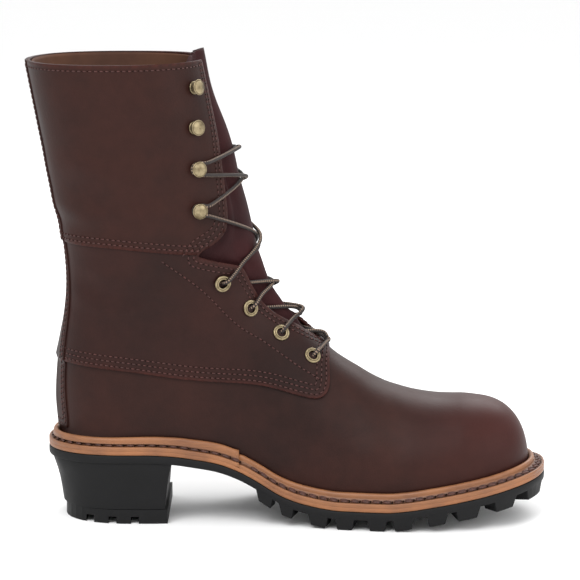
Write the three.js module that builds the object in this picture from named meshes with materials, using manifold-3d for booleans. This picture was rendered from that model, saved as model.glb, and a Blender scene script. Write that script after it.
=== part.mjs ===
import * as THREE from "three";
import { mergeVertices } from "three/addons/utils/BufferGeometryUtils.js";
import Module from "manifold-3d";

const wasm = await Module();
wasm.setup();

// A left logger boot in millimetres. X runs from heel to toe, +Y is the outer side and Z is up.
// Lengths along the boot are measured from the back of the last. At the end the group is shifted,
// so that the origin lies on the floor under the middle of the whole boot.

// The last: the form that the leather is pulled over.
const lastLength = 294.5;
const ballWidth = 94;
const toeBoxHeight = 50;
const instepRise = 95;
const toeEndLength = 76;
const toeCrownLength = 43.5;
const heelEndLength = 40;
const legHeight = 238;
const legDepth = 109;
const legWidth = 92;
const instepBlend = 14;
const ankleBlend = 5;
const blendRun = { from: 0.5, to: 0.95 };
const footPower = 2.25;
const legPower = 2.35;
const sideBulge = 0.045;

// The bottom of the boot.
const forefootHeight = 12.2;
const heelPitch = 32.5;
const toeSpring = 16.5;
const midsoleThickness = 2.6;
const weltThickness = 2.7;
const weltMargin = 10.3;
const heelMargin = 7;
const marginRun = { from: 0.2, to: 0.5 };
const weltBevel = 0.5;
const weltJoint = 0.385;
const jointSlot = 0.6;
const jointStep = 1.6;
const jointRun = 0.12;
const lipHeight = 5;
const lipThickness = 2.8;
const lipFlare = 1.4;
const lipFoot = 0.9;
const lipRound = 1.2;
const lipGap = 0.5;
const outsoleThickness = 5;
const heelLength = 78;
const heelTaper = 9;
const breastSlant = 5;
const heelLiftHeight = 9;
const heelLugDepth = 4.5;
const insoleThickness = 4;
const insoleGap = 1.3;
const lugTaper = 2.4;
const lugInset = 0.3;
const lugRoot = 0.6;

// The leather and what is fixed in it.
const wallThickness = 2.2;
const lapRise = { from: 0.15, to: 0.45 };
const quarterStep = 1.7;
const shaftStep = 1.0;
const backstayStep = 0.9;
const backstayWidth = 24;
const backstayLift = 1;
const throatDepth = 0.66;
const tongueThickness = 2.4;
const tongueTopRise = 6;
const tongueBulge = 6;
const bulgeRise = { from: 0.25, to: 0.36 };
const tongueGap = 1.6;
const eyeletHole = 5.2;
const eyeletBarrel = 0.5;
const eyeletFlange = 10.4;
const flangeThickness = 0.9;
const hookCap = 9.6;
const hookRise = 5.4;
const laceThickness = 2.4;
const laceSides = 5;
const laceSteps = 4;
const laceOverTongue = 0.4;
const clearance = 0.3;

// Half the body of the last and its centre line, as shares of ballWidth, at shares of lastLength.
const plan = [
  { station: -0.1, half: 0.345, shift: 0 },
  { station: 0.18, half: 0.347, shift: 0 },
  { station: 0.28, half: 0.345, shift: 0.014 },
  { station: 0.38, half: 0.355, shift: 0.034 },
  { station: 0.485, half: 0.404, shift: 0.043 },
  { station: 0.587, half: 0.463, shift: 0.029 },
  { station: 0.672, half: 0.493, shift: 0.011 },
  { station: 0.757, half: 0.5, shift: -0.008 },
  { station: 1.1, half: 0.5, shift: -0.04 },
];

// Side view of the underside of the midsole: shares of heelPitch and of toeSpring.
const soleLine = [
  { station: -0.1, pitch: 1, spring: 0 },
  { station: 0.18, pitch: 1, spring: 0 },
  { station: 0.241, pitch: 0.97, spring: 0 },
  { station: 0.285, pitch: 0.91, spring: 0 },
  { station: 0.333, pitch: 0.83, spring: 0 },
  { station: 0.377, pitch: 0.69, spring: 0 },
  { station: 0.418, pitch: 0.5, spring: 0 },
  { station: 0.469, pitch: 0.235, spring: 0 },
  { station: 0.506, pitch: 0.115, spring: 0 },
  { station: 0.553, pitch: 0.035, spring: 0 },
  { station: 0.594, pitch: 0, spring: 0 },
  { station: 0.69, pitch: 0, spring: 0 },
  { station: 0.727, pitch: 0, spring: 0.06 },
  { station: 0.778, pitch: 0, spring: 0.2 },
  { station: 0.845, pitch: 0, spring: 0.4 },
  { station: 0.903, pitch: 0, spring: 0.58 },
  { station: 0.961, pitch: 0, spring: 0.78 },
  { station: 1.1, pitch: 0, spring: 1.24 },
];

// Height of the ridge over the rim: 0 is toeBoxHeight and 1 is instepRise.
const ridge = [
  { station: -0.1, rise: 0.44 },
  { station: 0, rise: 0.44 },
  { station: 0.078, rise: 0.84 },
  { station: 0.18, rise: 1.06 },
  { station: 0.282, rise: 1.19 },
  { station: 0.367, rise: 1.235 },
  { station: 0.435, rise: 1.26 },
  { station: 0.494, rise: 1.18 },
  { station: 0.537, rise: 1 },
  { station: 0.577, rise: 0.8 },
  { station: 0.628, rise: 0.575 },
  { station: 0.693, rise: 0.35 },
  { station: 0.757, rise: 0.175 },
  { station: 0.808, rise: 0.075 },
  { station: 0.852, rise: 0.02 },
  { station: 0.9, rise: -0.02 },
  { station: 1.1, rise: -0.03 },
];

// Level sections of the leg: back and front as shares of legDepth, half as a share of legWidth.
const leg = [
  { rise: -0.1, back: 0.01, front: 0.83, half: 0.33 },
  { rise: 0, back: -0.005, front: 0.85, half: 0.34 },
  { rise: 0.104, back: -0.03, front: 0.95, half: 0.36 },
  { rise: 0.188, back: -0.02, front: 1.03, half: 0.352 },
  { rise: 0.271, back: 0.015, front: 1.09, half: 0.335 },
  { rise: 0.354, back: 0.048, front: 1.138, half: 0.336 },
  { rise: 0.425, back: 0.057, front: 1.14, half: 0.36 },
  { rise: 0.492, back: 0.05, front: 1.092, half: 0.39 },
  { rise: 0.5625, back: 0.03, front: 1.05, half: 0.418 },
  { rise: 0.625, back: 0, front: 1.023, half: 0.44 },
  { rise: 0.704, back: -0.032, front: 0.98, half: 0.467 },
  { rise: 0.771, back: -0.058, front: 0.943, half: 0.483 },
  { rise: 0.833, back: -0.083, front: 0.907, half: 0.499 },
  { rise: 0.896, back: -0.108, front: 0.87, half: 0.515 },
  { rise: 1, back: -0.15, front: 0.815, half: 0.54 },
  { rise: 1.1, back: -0.19, front: 0.765, half: 0.56 },
];

// The sections of the upper stand upright at the toe and lie level at the collar. Up to the
// heel they start on the rim of the last, and from there on they climb the back of the leg.
const ribs = [
  { step: 0, station: 1, climb: 0, lean: 90 },
  { step: 1, station: 0.62, climb: 0, lean: 90 },
  { step: 1.4, station: 0.5, climb: 0, lean: 78 },
  { step: 1.8, station: 0.35, climb: 0, lean: 60 },
  { step: 2.2, station: 0.2, climb: 0, lean: 52 },
  { step: 2.5, station: 0.1, climb: 0, lean: 49 },
  { step: 2.7, station: 0.047, climb: 0, lean: 47.5 },
  { step: 2.9, station: 0.012, climb: 0, lean: 46 },
  { step: 3, station: 0, climb: 0, lean: 45 },
  { step: 3.3, station: 0, climb: 0.13, lean: 44 },
  { step: 3.7, station: 0, climb: 0.33, lean: 39 },
  { step: 4, station: 0, climb: 0.46, lean: 33 },
  { step: 4.4, station: 0, climb: 0.63, lean: 24 },
  { step: 4.8, station: 0, climb: 0.8, lean: 12 },
  { step: 5.3, station: 0, climb: 1, lean: 0 },
];
const heelStep = 3;
const collarStep = 5.3;

// Half the width of the opening between the facings, seen from the front: shares of legWidth
// at shares of legHeight over the heel. The notch over the ankle is where it is widest.
const throat = [
  { rise: 0.26, half: 0.03 },
  { rise: 0.285, half: 0.075 },
  { rise: 0.32, half: 0.1 },
  { rise: 0.36, half: 0.13 },
  { rise: 0.4, half: 0.16 },
  { rise: 0.433, half: 0.19 },
  { rise: 0.462, half: 0.23 },
  { rise: 0.475, half: 0.29 },
  { rise: 0.485, half: 0.35 },
  { rise: 0.498, half: 0.395 },
  { rise: 0.512, half: 0.395 },
  { rise: 0.527, half: 0.36 },
  { rise: 0.546, half: 0.31 },
  { rise: 0.571, half: 0.283 },
  { rise: 0.605, half: 0.272 },
  { rise: 0.651, half: 0.266 },
  { rise: 0.735, half: 0.245 },
  { rise: 0.828, half: 0.207 },
  { rise: 0.912, half: 0.185 },
  { rise: 1.06, half: 0.16 },
];

// Seen from the side, the quarter's lower and front edge: shares of lastLength and of legHeight.
const quarterEdge = [
  { station: -0.1, rise: 0.215 },
  { station: 0.13, rise: 0.195 },
  { station: 0.287, rise: 0.171 },
  { station: 0.42, rise: 0.156 },
  { station: 0.505, rise: 0.13 },
  { station: 0.539, rise: 0.121 },
  { station: 0.558, rise: 0.126 },
  { station: 0.569, rise: 0.142 },
  { station: 0.572, rise: 0.168 },
  { station: 0.57, rise: 0.21 },
  { station: 0.568, rise: 0.3 },
];

// The lower edge of the shaft, from the back to the notch and on across the front.
const shaftEdge = [
  { station: -0.1, rise: 0.53 },
  { station: 0.1, rise: 0.525 },
  { station: 0.2, rise: 0.515 },
  { station: 0.31, rise: 0.505 },
  { station: 0.5, rise: 0.505 },
];

// Where the eyelets and the hooks sit, on each side: shares of lastLength for the eyelets on the
// foot, shares of legDepth for the hooks on the leg.
const eyeletPlaces = [
  { station: 0.5365, rise: 0.227 },
  { station: 0.47, rise: 0.286 },
  { station: 0.4055, rise: 0.353 },
  { station: 0.348, rise: 0.4245 },
];
const hookPlaces = [
  { depth: 0.80515, rise: 0.622 },
  { depth: 0.79704, rise: 0.729 },
  { depth: 0.78542, rise: 0.834 },
  { depth: 0.78272, rise: 0.935 },
];
const eyeletSpots = eyeletPlaces.map(({ station, rise }) => ({ x: station * lastLength, rise }));
const hookSpots = hookPlaces.map(({ depth, rise }) => ({ x: depth * legDepth, rise }));
const lacedHooks = 2;

// Blocks along each edge of the forefoot, from waist to toe, as shares of lastLength.
const edgeLugs = [
  { from: 0.423, to: 0.453, deep: 20 },
  { from: 0.472, to: 0.498, deep: 26 },
  { from: 0.536, to: 0.57, deep: 20 },
  { from: 0.59, to: 0.624, deep: 26 },
  { from: 0.656, to: 0.69, deep: 20 },
  { from: 0.708, to: 0.744, deep: 26 },
  { from: 0.775, to: 0.81, deep: 20 },
  { from: 0.832, to: 0.872, deep: 26 },
  { from: 0.905, to: 0.94, deep: 20 },
  { from: 0.965, to: 0.992, deep: 24 },
];
const centreLugs = [0.535, 0.625, 0.715, 0.805, 0.89];
const centreLug = { length: 9, width: 15, sweep: 5 };

// The heel's outline at shares of its height, drawn in by shares of heelTaper, and its grooves.
const heelShape = [
  { height: 0, taper: 1 },
  { height: 0.5, taper: 0.72 },
  { height: 1, taper: 0.2 },
];
const heelGrooves = [0.24, 0.46, 0.68];
const heelGroove = { width: 5, spine: 10 };

const clamp01 = (t) => Math.min(1, Math.max(0, t));
const lerp = (a, b, t) => a + (b - a) * t;
const smooth = (a, b, t) => {
  const s = clamp01((t - a) / (b - a));
  return s * s * (3 - 2 * s);
};

// A smooth curve through one column of a table, which never overshoots its rows.
function curve(table, key, value) {
  const xs = table.map((row) => row[key]);
  const ys = table.map((row) => row[value]);
  const slopes = xs.slice(1).map((x, i) => (ys[i + 1] - ys[i]) / (x - xs[i]));
  const tangents = xs.map((x, i) => {
    if (i === 0) return slopes[0];
    if (i === xs.length - 1) return slopes[i - 1];
    const product = slopes[i - 1] * slopes[i];
    return product <= 0 ? 0 : (2 * product) / (slopes[i - 1] + slopes[i]);
  });
  return (x) => {
    let i = 0;
    while (i < xs.length - 2 && x > xs[i + 1]) i++;
    const width = xs[i + 1] - xs[i];
    const t = clamp01((x - xs[i]) / width);
    const u = 1 - t;
    const ends = ys[i] * u * u * (1 + 2 * t) + ys[i + 1] * t * t * (3 - 2 * t);
    return ends + (tangents[i] * u - tangents[i + 1] * t) * width * t * u;
  };
}

const bodyHalf = curve(plan, "station", "half");
const bodyShift = curve(plan, "station", "shift");
const pitchShare = curve(soleLine, "station", "pitch");
const springShare = curve(soleLine, "station", "spring");
const ridgeShare = curve(ridge, "station", "rise");
const legBack = curve(leg, "rise", "back");
const legFront = curve(leg, "rise", "front");
const legHalf = curve(leg, "rise", "half");
const ribStation = curve(ribs, "step", "station");
const ribClimb = curve(ribs, "step", "climb");
const ribLean = curve(ribs, "step", "lean");
const throatHalf = curve(throat, "rise", "half");

// Heights over the floor.
const soleUnder = (x) =>
  forefootHeight + heelPitch * pitchShare(x / lastLength) + toeSpring * springShare(x / lastLength);
const midsoleTop = (x) => soleUnder(x) + midsoleThickness;
const rimHeight = (x) => midsoleTop(x) + weltThickness;
const outsoleUnder = (x) => soleUnder(x) - clearance - outsoleThickness;
const treadDepth = forefootHeight - clearance - outsoleThickness;
const heelRim = rimHeight(0);
const legLevel = (rise) => heelRim + legHeight * rise;
const centreLine = (x) => ballWidth * bodyShift(x / lastLength);
const seatDrop = weltThickness - 2 * clearance;

// How far a point lies outside a form whose gauge is 1 on its surface, or inside it down to a floor.
const deepest = -25;
const nudge = 0.05;
function distance(gauge, x, y, z) {
  const g = gauge(x, y, z);
  const slope = Math.hypot(
    gauge(x + nudge, y, z) - g,
    gauge(x, y + nudge, z) - g,
    gauge(x, y, z + nudge) - g,
  );
  return Math.max(deepest, ((g - 1) * nudge) / Math.max(slope, 1e-7));
}

// The foot of the last: arched sections from the heel to the toe, closed at both ends.
function footGauge(x, y, z) {
  const rise = lerp(toeBoxHeight, instepRise, ridgeShare(x / lastLength));
  const up = Math.max(0, z - rimHeight(x)) / rise;
  const belly = 1 + sideBulge * Math.sin(Math.PI * Math.min(1, up / 0.7));
  const half = ballWidth * bodyHalf(x / lastLength) * belly;
  const across = (Math.abs(y - centreLine(x)) / half) ** footPower;
  const above = up ** footPower;
  const heel = Math.max(0, 1 - x / heelEndLength) ** footPower;
  const crownShare = above / (across + above + 1e-9);
  const toePlan = Math.max(0, 1 - (lastLength - x) / toeEndLength);
  const toeCrown = Math.max(0, 1 - (lastLength - x) / toeCrownLength);
  const toe = lerp(toePlan, toeCrown, crownShare) ** footPower;
  return (across + above + heel + toe) ** (1 / footPower);
}

// The leg of the last: level sections, rounded at front and back.
function legGauge(x, y, z) {
  const rise = (z - heelRim) / legHeight;
  const back = legBack(rise) * legDepth;
  const front = legFront(rise) * legDepth;
  const along = Math.abs(x - (back + front) / 2) / ((front - back) / 2);
  const across = Math.abs(y) / (legHalf(rise) * legWidth);
  return (along ** legPower + across ** legPower) ** (1 / legPower);
}

// The whole last, with the leg running smoothly into the instep.
function last(x, y, z) {
  const foot = distance(footGauge, x, y, z);
  const shank = distance(legGauge, x, y, z);
  const blend = lerp(ankleBlend, instepBlend, smooth(blendRun.from, blendRun.to, x / legDepth));
  const near = Math.max(0, blend - Math.abs(foot - shank)) / blend;
  return Math.min(foot, shank) - (near * near * blend) / 4;
}

// How far a ray runs from a point inside to where the last is offset away.
const farRay = lastLength + legDepth;
const halvings = 26;
function reach(origin, ray, offset) {
  let inside = 0;
  let outside = farRay;
  for (let i = 0; i < halvings; i++) {
    const middle = (inside + outside) / 2;
    const [x, y, z] = origin.map((v, k) => v + ray[k] * middle);
    const limit = typeof offset === "number" ? offset : offset(x, y, z);
    if (last(x, y, z) < limit) inside = middle;
    else outside = middle;
  }
  return inside;
}
const along = (origin, ray, run) => origin.map((v, k) => v + ray[k] * run);

// The inside of the leather. It lies closer to the last where the quarters lie over the vamp.
const insideWall = (x, y, z) =>
  quarterStep * smooth(lapRise.from, lapRise.to, (z - heelRim) / legHeight) - wallThickness;

// The plane of one section: where it starts, which way it leans and how far it runs. Its points
// are found on rays from a middle that lies a share of the way up.
const sink = 0.4;
const inset = 2;
function ribFrame(step, offset, drop) {
  const lean = THREE.MathUtils.degToRad(step > collarStep ? 0 : ribLean(step));
  const ahead = [Math.cos(lean), 0, Math.sin(lean)];
  const climb = ribClimb(step) + Math.max(0, step - collarStep);
  const backAt = (z) => heelEndLength - reach([heelEndLength, 0, z], [-1, 0, 0], offset);
  const toeX = lastLength / 2 + reach([lastLength / 2, 0, rimHeight(lastLength)], [1, 0, 0], offset);
  const open = step < heelStep;
  const height = legLevel(climb) - drop * (1 - clamp01(climb / 0.05));
  const footX = open ? lerp(backAt(heelRim), toeX, ribStation(step)) : backAt(height);
  const foot = [footX, centreLine(footX), open ? rimHeight(footX) - drop : height];
  const length = inset + reach(along(foot, ahead, inset), ahead, offset);
  const origin = along(foot, ahead, length * sink);
  const side = [-1, 1].map((s) => ({
    rim: open ? reach(foot, [0, s, 0], offset) : 0,
    wide: reach(origin, [0, s, 0], offset),
  }));
  return { foot, ahead, length, origin, side };
}

// A point on the section: share 0 is its start and 1 is the ridge, and side is -1 or 1.
function ribPoint(frame, share, sideSign, offset) {
  const { rim, wide } = frame.side[sideSign < 0 ? 0 : 1];
  if (share === 0) return along(frame.foot, [0, sideSign, 0], rim);
  const angle = lerp(Math.atan2(-2 * sink, rim / wide), Math.PI / 2, share);
  const flat = Math.cos(angle) * wide * sideSign;
  const up = (Math.sin(angle) * frame.length) / 2;
  const size = Math.hypot(flat, up);
  const ray = [(frame.ahead[0] * up) / size, flat / size, (frame.ahead[2] * up) / size];
  return along(frame.origin, ray, reach(frame.origin, ray, offset));
}

function ribPoints(step, offset, drop, count) {
  const frame = ribFrame(step, offset, drop);
  const half = count / 2;
  const points = [];
  for (let j = 0; j <= half; j++) points.push(ribPoint(frame, j / half, -1, offset));
  for (let j = half - 1; j >= 0; j--) points.push(ribPoint(frame, j / half, 1, offset));
  return points;
}

// A closed mesh through loops of points, each four of them split along the shorter diagonal.
// The end caps meet in a middle point, or use given faces.
function loft(loops, capFaces = null) {
  const span = (p, q) => Math.hypot(p[0] - q[0], p[1] - q[1], p[2] - q[2]);
  const n = loops[0].length;
  const end = (loops.length - 1) * n;
  const vertices = loops.flat(2);
  const faces = [];
  for (let i = 0; i + 1 < loops.length; i++) {
    for (let j = 0; j < n; j++) {
      const k = (j + 1) % n;
      const [a, b] = [i * n + j, i * n + k];
      const forward = span(loops[i][j], loops[i + 1][k]) <= span(loops[i][k], loops[i + 1][j]);
      if (forward) faces.push(a, b, b + n, a, b + n, a + n);
      else faces.push(a, b, a + n, b, b + n, a + n);
    }
  }
  if (capFaces) {
    for (const [a, b, c] of capFaces) faces.push(c, b, a, end + a, end + b, end + c);
    return closed(vertices, faces);
  }
  const caps = [loops[0], loops[loops.length - 1]].map((loop) => {
    vertices.push(...[0, 1, 2].map((k) => loop.reduce((sum, p) => sum + p[k], 0) / n));
    return vertices.length / 3 - 1;
  });
  for (let j = 0; j < n; j++) {
    const k = (j + 1) % n;
    faces.push(caps[0], k, j, caps[1], end + j, end + k);
  }
  return closed(vertices, faces);
}

// A solid from corners and faces, with its faces turned outwards.
function closed(vertices, faces) {
  const geometry = new THREE.BufferGeometry();
  geometry.setAttribute("position", new THREE.Float32BufferAttribute(vertices, 3));
  geometry.setIndex(faces);
  return solid(geometry);
}

function solid(geometry) {
  const bare = geometry.clone();
  bare.deleteAttribute("normal");
  bare.deleteAttribute("uv");
  const merged = mergeVertices(bare, 1e-4);
  const at = merged.getAttribute("position");
  const corner = (i) => new THREE.Vector3().fromBufferAttribute(at, i);
  const kept = [];
  let volume = 0;
  for (let i = 0; i < merged.index.count; i += 3) {
    const [a, b, c] = [0, 1, 2].map((k) => merged.index.getX(i + k));
    if (a === b || b === c || a === c) continue;
    volume += corner(a).dot(corner(b).cross(corner(c)));
    kept.push(a, b, c);
  }
  if (volume < 0) kept.reverse();
  return new wasm.Manifold(
    new wasm.Mesh({
      numProp: 3,
      vertProperties: new Float32Array(at.array),
      triVerts: new Uint32Array(kept),
    }),
  );
}

// A solid as a geometry again.
function shown(made) {
  const mesh = made.getMesh();
  const geometry = new THREE.BufferGeometry();
  geometry.setAttribute("position", new THREE.Float32BufferAttribute(mesh.vertProperties, 3));
  geometry.setIndex(new THREE.BufferAttribute(mesh.triVerts, 1));
  geometry.computeVertexNormals();
  return geometry;
}

// The main body of a cut solid, without the crumbs that a slanting cut leaves.
function largest(made) {
  const size = (body) => body.volume();
  return made.decompose().sort((a, b) => size(b) - size(a))[0];
}

// A flat outline in x and z, as a solid that runs right across the boot.
function acrossBoot(points) {
  const shape = new THREE.Shape(points.map(([x, z]) => new THREE.Vector2(x, z)));
  const geometry = new THREE.ExtrudeGeometry(shape, { depth: 2 * legWidth, bevelEnabled: false });
  geometry.translate(0, 0, -legWidth);
  geometry.rotateX(Math.PI / 2);
  return solid(geometry);
}

// A flat outline in y and z, as a solid that runs forward from one x to another.
function alongBoot(points, from, to) {
  const shape = new THREE.Shape(points.map(([y, z]) => new THREE.Vector2(y, z)));
  const geometry = new THREE.ExtrudeGeometry(shape, { depth: to - from, bevelEnabled: false });
  const axes = [[0, 1, 0], [0, 0, 1], [1, 0, 0]].map((axis) => new THREE.Vector3(...axis));
  geometry.applyMatrix4(new THREE.Matrix4().makeBasis(...axes));
  geometry.translate(from, 0, 0);
  return solid(geometry);
}

function block(x0, x1, y0, y1, z0, z1) {
  const geometry = new THREE.BoxGeometry(x1 - x0, y1 - y0, z1 - z0);
  geometry.translate((x0 + x1) / 2, (y0 + y1) / 2, (z0 + z1) / 2);
  return solid(geometry);
}

// The last at a given offset as one closed solid, from its seat to the collar or a little over it.
// The sections crowd at the toe, over the curve of the waist and round the heel.
const fineRows = [
  { until: 0.62, rows: 9 },
  { until: 1.3, rows: 3 },
  { until: 2.35, rows: 10 },
  { until: heelStep, rows: 6 },
  { until: collarStep, rows: 10 },
];
const plainRows = [
  { until: 0.62, rows: 7 },
  { until: 1.3, rows: 3 },
  { until: 2.35, rows: 5 },
  { until: heelStep, rows: 6 },
  { until: collarStep, rows: 7 },
];
function lastSolid(offset, drop, over, spacing, count) {
  const steps = [0.004];
  let from = 0;
  for (const { until, rows } of spacing) {
    for (let i = 1; i <= rows; i++) {
      const share = from === 0 ? 1 - Math.cos((i / rows) * (Math.PI / 2)) : i / rows;
      steps.push(lerp(from, until, share));
    }
    from = until;
  }
  if (over > 0) steps.push(collarStep + over / legHeight);
  return loft(steps.map((step) => ribPoints(step, offset, drop, count)));
}

// A point on the surface at one side, with the direction that faces out of it.
function seat(place, sideSign, offset) {
  const start = [place.x, 0, legLevel(place.rise)];
  const at = along(start, [0, sideSign, 0], reach(start, [0, sideSign, 0], offset));
  const slope = [[nudge, 0, 0], [0, nudge, 0], [0, 0, nudge]].map((step) =>
    last(...along(at, step, 1)) - last(...along(at, step, -1)));
  return { at: new THREE.Vector3(...at), out: new THREE.Vector3(...slope).normalize() };
}

// The same place on the flat of a faceted solid, which lies a little inside the smooth surface.
function flatSeat(made, place, sideSign, offset) {
  const { at, out } = seat(place, sideSign, offset);
  const start = at.clone().addScaledVector(out, legDepth / 2);
  const surface = new THREE.Mesh(shown(made), new THREE.MeshBasicMaterial());
  const hit = new THREE.Raycaster(start, out.clone().negate()).intersectObject(surface)[0];
  return { at: hit.point, out: hit.face.normal.clone() };
}

// The seat moved out by a height.
const lifted = ({ at, out }, height) => ({ at: at.clone().addScaledVector(out, height), out });

// Turns a shape that stands on the xy plane to stand on the surface there.
function stand(geometry, { at, out }) {
  const turn = new THREE.Quaternion().setFromUnitVectors(new THREE.Vector3(0, 0, 1), out);
  return geometry.clone().applyQuaternion(turn).translate(at.x, at.y, at.z);
}

// A turned shape about z, from pairs of radius and height.
function turned(profile, segments) {
  const geometry = new THREE.LatheGeometry(profile.map(([r, h]) => new THREE.Vector2(r, h)), segments);
  return geometry.rotateX(Math.PI / 2);
}

const outerCount = 22;
const innerCount = 20;
const fixingSides = 8;

// The leather before its eyelet holes are cut: the vamp, the quarters over it and the shaft over
// them, each with the backstay as a further step, less the inside and the throat.
function makeShell() {
  const top = 2 * legHeight;
  const overEdge = (edge) => {
    const side = edge.map((row) => [row.station * lastLength, legLevel(row.rise)]);
    return acrossBoot([...side, [side[side.length - 1][0], top], [side[0][0], top]]);
  };
  const layers = [
    { offset: 0, region: null },
    { offset: quarterStep, region: overEdge(quarterEdge) },
    { offset: quarterStep + shaftStep, region: overEdge(shaftEdge) },
  ];
  const backstayFoot = heelRim + lipHeight + backstayLift;
  const half = backstayWidth / 2;
  const strip = [[-half, backstayFoot], [half, backstayFoot], [half, top], [-half, top]];
  const backstay = alongBoot(strip, -legDepth, heelEndLength);
  let shell = null;
  for (const { offset, region } of layers) {
    const sheet = lastSolid(offset, seatDrop, 0, fineRows, outerCount);
    const raised = lastSolid(offset + backstayStep, seatDrop, 0, fineRows, outerCount).intersect(backstay);
    const layer = region ? sheet.add(raised).intersect(region) : sheet.add(raised);
    shell = shell ? shell.add(layer) : layer;
  }
  const inside = lastSolid(insideWall, 3 * weltThickness, 3 * wallThickness, plainRows, innerCount);
  const edge = throat.map((row) => [row.half * legWidth, legLevel(row.rise)]);
  const mirrored = edge.map(([y, z]) => [-y, z]).reverse();
  const opening = alongBoot([...edge, ...mirrored], throatDepth * legDepth, lastLength);
  return largest(shell.subtract(inside).subtract(opening));
}

function makeUpper(shell, eyeletSeats) {
  const radius = eyeletHole / 2 + eyeletBarrel + clearance;
  const deep = 2 * (wallThickness + quarterStep);
  const hole = turned([[0, -deep], [radius, -deep], [radius, eyeletHole], [0, eyeletHole]], fixingSides);
  return largest(eyeletSeats.reduce((made, spot) => made.subtract(solid(stand(hole, spot))), shell));
}

// The plan of the last at a height over its rim. Turn 0 is the heel and 0.5 is the toe.
function planPoint(turn, over) {
  const toe = lastLength / 2 + reach([lastLength / 2, 0, rimHeight(lastLength) + over], [1, 0, 0], 0);
  const back = heelEndLength - reach([heelEndLength, 0, heelRim + over], [-1, 0, 0], 0);
  const x = lerp(back, toe, (1 - Math.cos(2 * Math.PI * turn)) / 2);
  const wrapped = turn - Math.floor(turn);
  const s = wrapped < 0.5 ? -1 : 1;
  const start = [x, centreLine(x), rimHeight(x) + over];
  const tip = Math.abs(2 * wrapped - Math.round(2 * wrapped)) < 1e-6;
  return [x, start[1] + (tip ? 0 : s * reach(start, [0, s, 0], 0))];
}
const marginAt = (x) =>
  lerp(heelMargin, weltMargin, smooth(marginRun.from, marginRun.to, x / lastLength));

const turnNudge = 0.004;

// The same plan moved outwards, as a point at a height over the underside of the midsole.
function edgePoint(turn, out, height, over = 0) {
  const [x, y] = planPoint(turn, over);
  const [a, b] = [planPoint(turn - turnNudge, over), planPoint(turn + turnNudge, over)];
  const size = Math.hypot(b[0] - a[0], b[1] - a[1]);
  const far = typeof out === "number" ? out : out(x);
  const at = [x + ((b[1] - a[1]) / size) * far, y - ((b[0] - a[0]) / size) * far];
  return [...at, soleUnder(at[0]) + height];
}
const turnAt = (station) => Math.acos(1 - 2 * clamp01(station)) / (2 * Math.PI);

// The sections of the sole, from heel to toe on the inner side, close together at the waist.
const heelEndTurns = [0, 0.014, 0.028, 0.044, 0.062, 0.084, 0.11, 0.138];
const waistStations = { from: 0.23, to: 0.63, step: 0.027 };
const foreTurns = { from: 0.305, step: 0.0195 };
const soleTurns = [...heelEndTurns];
for (let station = waistStations.from; station < waistStations.to; station += waistStations.step) {
  soleTurns.push(turnAt(station));
}
for (let turn = foreTurns.from; turn < 0.5; turn += foreTurns.step) soleTurns.push(turn);
soleTurns.push(0.5);
const jointTurn = turnAt(weltJoint);
const jointGap = jointSlot / lastLength / Math.PI;

// A layer of the sole, from one height to another.
function plate(out, low, high) {
  const sections = soleTurns.map((turn) => {
    const ends = [[turn, low], [1 - turn, low], [1 - turn, high], [turn, high]];
    return ends.map(([at, height]) => edgePoint(at, out, height));
  });
  return loft(sections);
}

// A block of the tread that narrows towards the floor, from matching outlines above and below.
function lug(plan, foot) {
  const upper = plan.map(([x, y]) => [x, y, outsoleUnder(x) + lugRoot]);
  const lower = foot.map(([x, y]) => [x, y, outsoleUnder(x) - treadDepth]);
  return loft([lower, upper]);
}

function makeOutsole() {
  let outsole = plate(marginAt, -clearance - outsoleThickness, -clearance);
  const edgeLug = ({ from, to, deep }, s, shrink) => {
    const side = shrink / lastLength / 2;
    const turns = [from + side, (from + to) / 2, to - side].map((station) =>
      s < 0 ? turnAt(station) : 1 - turnAt(station));
    const outer = turns.map((turn) => edgePoint(turn, (x) => marginAt(x) - lugInset - shrink / 3, 0));
    const inner = turns.map((turn) => edgePoint(turn, (x) => marginAt(x) - deep + shrink, 0));
    return [...outer, ...inner.reverse()];
  };
  for (const row of edgeLugs) {
    for (const s of [-1, 1]) outsole = outsole.add(lug(edgeLug(row, s, 0), edgeLug(row, s, lugTaper)));
  }
  for (const station of centreLugs) {
    const x = station * lastLength;
    const chevron = (shrink) => {
      const a = (centreLug.length - shrink) / 2;
      const b = (centreLug.width - shrink) / 2;
      const c = centreLug.sweep;
      return [[x - a, -b], [x - a + c, 0], [x - a, b], [x + a, b], [x + a + c, 0], [x + a, -b]]
        .map(([px, py]) => [px, py + centreLine(x)]);
    };
    outsole = outsole.add(lug(chevron(0), chevron(lugTaper)));
  }
  return outsole;
}

// The plan of the heel, drawn in by a share of its taper, with the breast at the front.
const heelTurns = 13;
const breastTurn = turnAt((heelLength - heelMargin) / lastLength);
function heelLoop(taper, height) {
  const breast = heelLength - breastSlant * taper;
  const loop = [];
  for (let i = -heelTurns; i <= heelTurns; i++) {
    const turn = (breastTurn * i) / heelTurns;
    const drawn = (heelTaper * taper) / 2;
    const [x, y] = edgePoint(turn < 0 ? 1 + turn : turn, (at) => marginAt(at) - drawn, 0);
    const forward = (1 - (x + heelMargin) / heelLength) * drawn;
    loop.push([Math.min(x + forward, breast - heelMargin), y, height(x)]);
  }
  return loop;
}

function makeHeelBlock() {
  const bottom = heelLiftHeight + clearance;
  const level = (share) => (x) => lerp(bottom, outsoleUnder(x) - clearance, share);
  return loft(heelShape.map(({ height, taper }) => heelLoop(taper, level(height))));
}

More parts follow.
